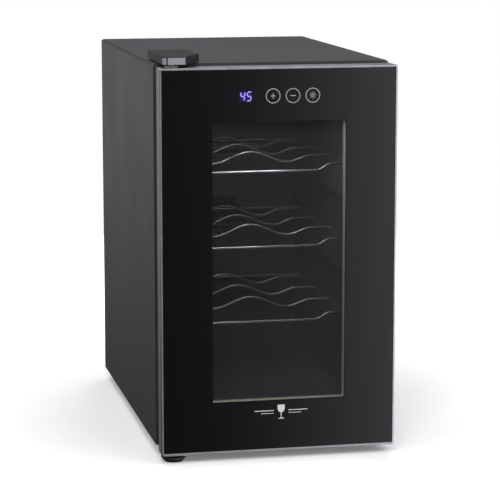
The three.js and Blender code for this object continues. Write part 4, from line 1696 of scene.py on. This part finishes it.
@dataclass
class Studio:
    """Camera, floor, soft lights and their surroundings."""

    lens: float = 151.3
    eye: Point = (-0.5496, -2.6665, 0.6805)
    pitch: float = 9.631
    yaw: float = 11.953
    floor_radius: float = 1.5
    card: float = 1.5
    card_edges: tuple[float, float] = (0.155, 0.30)
    card_fall: float = 2.2
    horizon: float = 0.35
    ambient: tuple[float, float] = (0.06, 0.35)

    def camera(self) -> None:
        """Sets the camera."""
        lens = bpy.data.cameras.new("eye")
        lens.lens = self.lens
        lens.sensor_width = 36
        made = bpy.data.objects.new("eye", lens)
        made.location = self.eye
        made.rotation_euler = (math.radians(90 - self.pitch), 0.0, math.radians(-self.yaw))
        bpy.context.scene.collection.objects.link(made)
        bpy.context.scene.camera = made

    def floor(self) -> None:
        """Round pale floor with a dull surface; it glows as painted light, faintly near the object and nearly
        white farther out.
        """
        g = Graph("pale_floor")
        cloud = g.noise(220, 3.0)
        tone = g.mix(cloud.ramp(0.3, 0.7), (0.86, 0.86, 0.865), (0.9, 0.9, 0.9))
        x, y, _ = g.parts()
        # Painted light: the floor's glow rises from faint within 0.26 m of the middle to nearly white beyond
        # 0.9 m.
        away = (x * x + y * y).root().ramp(260.0, 900.0)
        material = g.surface(
            Base_Color=tone,
            Roughness=0.9,
            Emission_Color=g.mix(away, (0.12, 0.12, 0.12), (0.9, 0.9, 0.9)),
            Emission_Strength=1.0,
            Normal=g.bump(g.noise(1.5, 2.0), 0.02),
        )
        ring = [(self.floor_radius * x, self.floor_radius * y, 0.0) for x, y in circle(1.0, 128)]
        mesh = bpy.data.meshes.new("floor")
        mesh.from_pydata(ring, [], [tuple(range(128))])
        mesh.materials.append(material)
        made = bpy.data.objects.new("floor", mesh)
        made.visible_glossy = False
        made.visible_diffuse = False
        bpy.context.scene.collection.objects.link(made)

    def light(
        self, name: str, place: Point, aim: Point, size: Flat, watts: float, mirrored: bool = True
    ) -> None:
        """One soft rectangular light.

        Args:
            name: Its name.
            place: Where it stands.
            aim: What it points at.
            size: Its width and height.
            watts: Its power.
            mirrored: It shows in reflections.
        """
        lamp = bpy.data.lights.new(name, "AREA")
        lamp.shape = "RECTANGLE"
        lamp.size, lamp.size_y = size
        lamp.energy = watts
        made = bpy.data.objects.new(name, lamp)
        made.location = place
        made.rotation_euler = (Vector(aim) - Vector(place)).to_track_quat("-Z", "Y").to_euler()
        made.visible_glossy = mirrored
        made.visible_camera = False
        bpy.context.scene.collection.objects.link(made)

    def surroundings(self) -> None:
        """White behind the object, and a soft change from dark to light around it."""
        world = bpy.data.worlds.new("studio")
        world.use_nodes = True
        bpy.context.scene.world = world
        tree = world.node_tree
        tree.nodes.clear()

        def node(kind: str, settings: dict | None = None, inputs: dict | None = None) -> bpy.types.Node:
            """Makes a node of the world.

            Args:
                kind: The node's type.
                settings: Attributes of the node.
                inputs: Values or sockets, by name or number.

            Returns:
                The node.
            """
            made = tree.nodes.new(kind)
            for key, value in (settings or {}).items():
                setattr(made, key, value)
            for key, value in (inputs or {}).items():
                if isinstance(value, bpy.types.NodeSocket):
                    tree.links.new(value, made.inputs[key])
                else:
                    made.inputs[key].default_value = value
            return made

        def eased(
            value: bpy.types.NodeSocket, low: float, high: float, start: float, end: float
        ) -> bpy.types.NodeSocket:
            """Smooth change from one level to another.

            Args:
                value: The value that drives it.
                low: Value at the start.
                high: Value at the end.
                start: Level at the start.
                end: Level at the end.

            Returns:
                The level.
            """
            inputs = {"Value": value, "From Min": low, "From Max": high, "To Min": start, "To Max": end}
            return node("ShaderNodeMapRange", {"interpolation_type": "SMOOTHSTEP"}, inputs).outputs[0]

        def joined(operation: str, *values: bpy.types.NodeSocket | float) -> bpy.types.NodeSocket:
            """Result of one Math node."""
            return node("ShaderNodeMath", {"operation": operation}, dict(enumerate(values))).outputs[0]

        way = node("ShaderNodeTexCoord")
        split = node("ShaderNodeSeparateXYZ", None, {0: way.outputs["Generated"]})
        east, north, up = (split.outputs[index] for index in range(3))
        ahead = eased(north, 0.1, -0.3, 0.0, 1.0)
        card_ramp = {"Value": east, "From Min": self.card_edges[0], "From Max": self.card_edges[1]}
        card = node("ShaderNodeMapRange", None, card_ramp).outputs[0]
        card = joined("MULTIPLY", joined("POWER", card, self.card_fall), joined("MULTIPLY", ahead, self.card))
        level = joined("ABSOLUTE", joined("ADD", up, 0.05))
        behind = eased(north, 0.2, 0.8, 0.0, 1.0)
        glow = joined("MULTIPLY", eased(level, 0.02, 0.2, self.horizon, 0.0), behind)
        ambient = eased(up, -0.2, 0.9, self.ambient[0], self.ambient[1])
        both = joined("ADD", joined("ADD", card, glow), ambient)
        seen = node("ShaderNodeLightPath")
        dim = node("ShaderNodeBackground", None, {"Color": (0.95, 0.95, 1.0, 1), "Strength": both})
        white = node("ShaderNodeBackground", None, {"Color": (1, 1, 1, 1), "Strength": 1.0})
        mixed = node(
            "ShaderNodeMixShader", None,
            {0: seen.outputs["Is Camera Ray"], 1: dim.outputs[0], 2: white.outputs[0]},
        )
        node("ShaderNodeOutputWorld", None, {0: mixed.outputs[0]})

    def build(self) -> None:
        """Makes the whole studio."""
        bpy.context.scene.view_settings.view_transform = "Standard"
        self.camera()
        self.floor()
        self.light("top_softbox", (-0.2, 0.3, 2.3), (0.0, 0.0, 0.3), (2.0, 2.0), 20)
        self.light("left_softbox", (-2.2, -1.4, 1.5), (0.0, -0.1, 0.3), (1.4, 1.4), 25)
        self.light("front_softbox", (-0.7, -2.4, 2.0), (0.0, -0.2, 0.25), (1.2, 1.2), 40)
        self.light("rear_softbox", (1.0, 2.4, 1.5), (0.0, 0.2, 0.25), (1.4, 1.4), 26, False)
        low, high = (tuple(part / MM for part in corner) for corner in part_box("light_lens"))
        middle = tuple((a + b) / 2 * MM for a, b in zip(low, high))
        under = (middle[0], middle[1], low[2] * MM - 0.003)
        self.light("cabinet_light", under, (middle[0], middle[1] + 0.05, 0.0), (0.06, 0.01), 0.4)
        self.surroundings()
        LOG.info("Studio: camera, floor and five lights")


def main() -> None:
    """Builds the cooler's assemblies in order."""
    logging.basicConfig(level=logging.INFO, format="%(message)s")
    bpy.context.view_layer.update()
    Studio().build()
    assemblies: list[Assembly] = [
        Cabinet(),
        CoolingUnit(),
        Feet(),
        Hinges(),
        Door(),
        Controls(),
        Rack(node="rack_lower", body=Body.LOWER),
        Rack(node="rack_middle", body=Body.MIDDLE),
        Rack(node="rack_upper", body=Body.UPPER),
    ]
    for assembly in assemblies:
        assembly.build()
    LOG.info("%d pieces in %d assemblies", sum(len(a.made) for a in assemblies), len(assemblies))


if __name__ == "__main__":
    main()
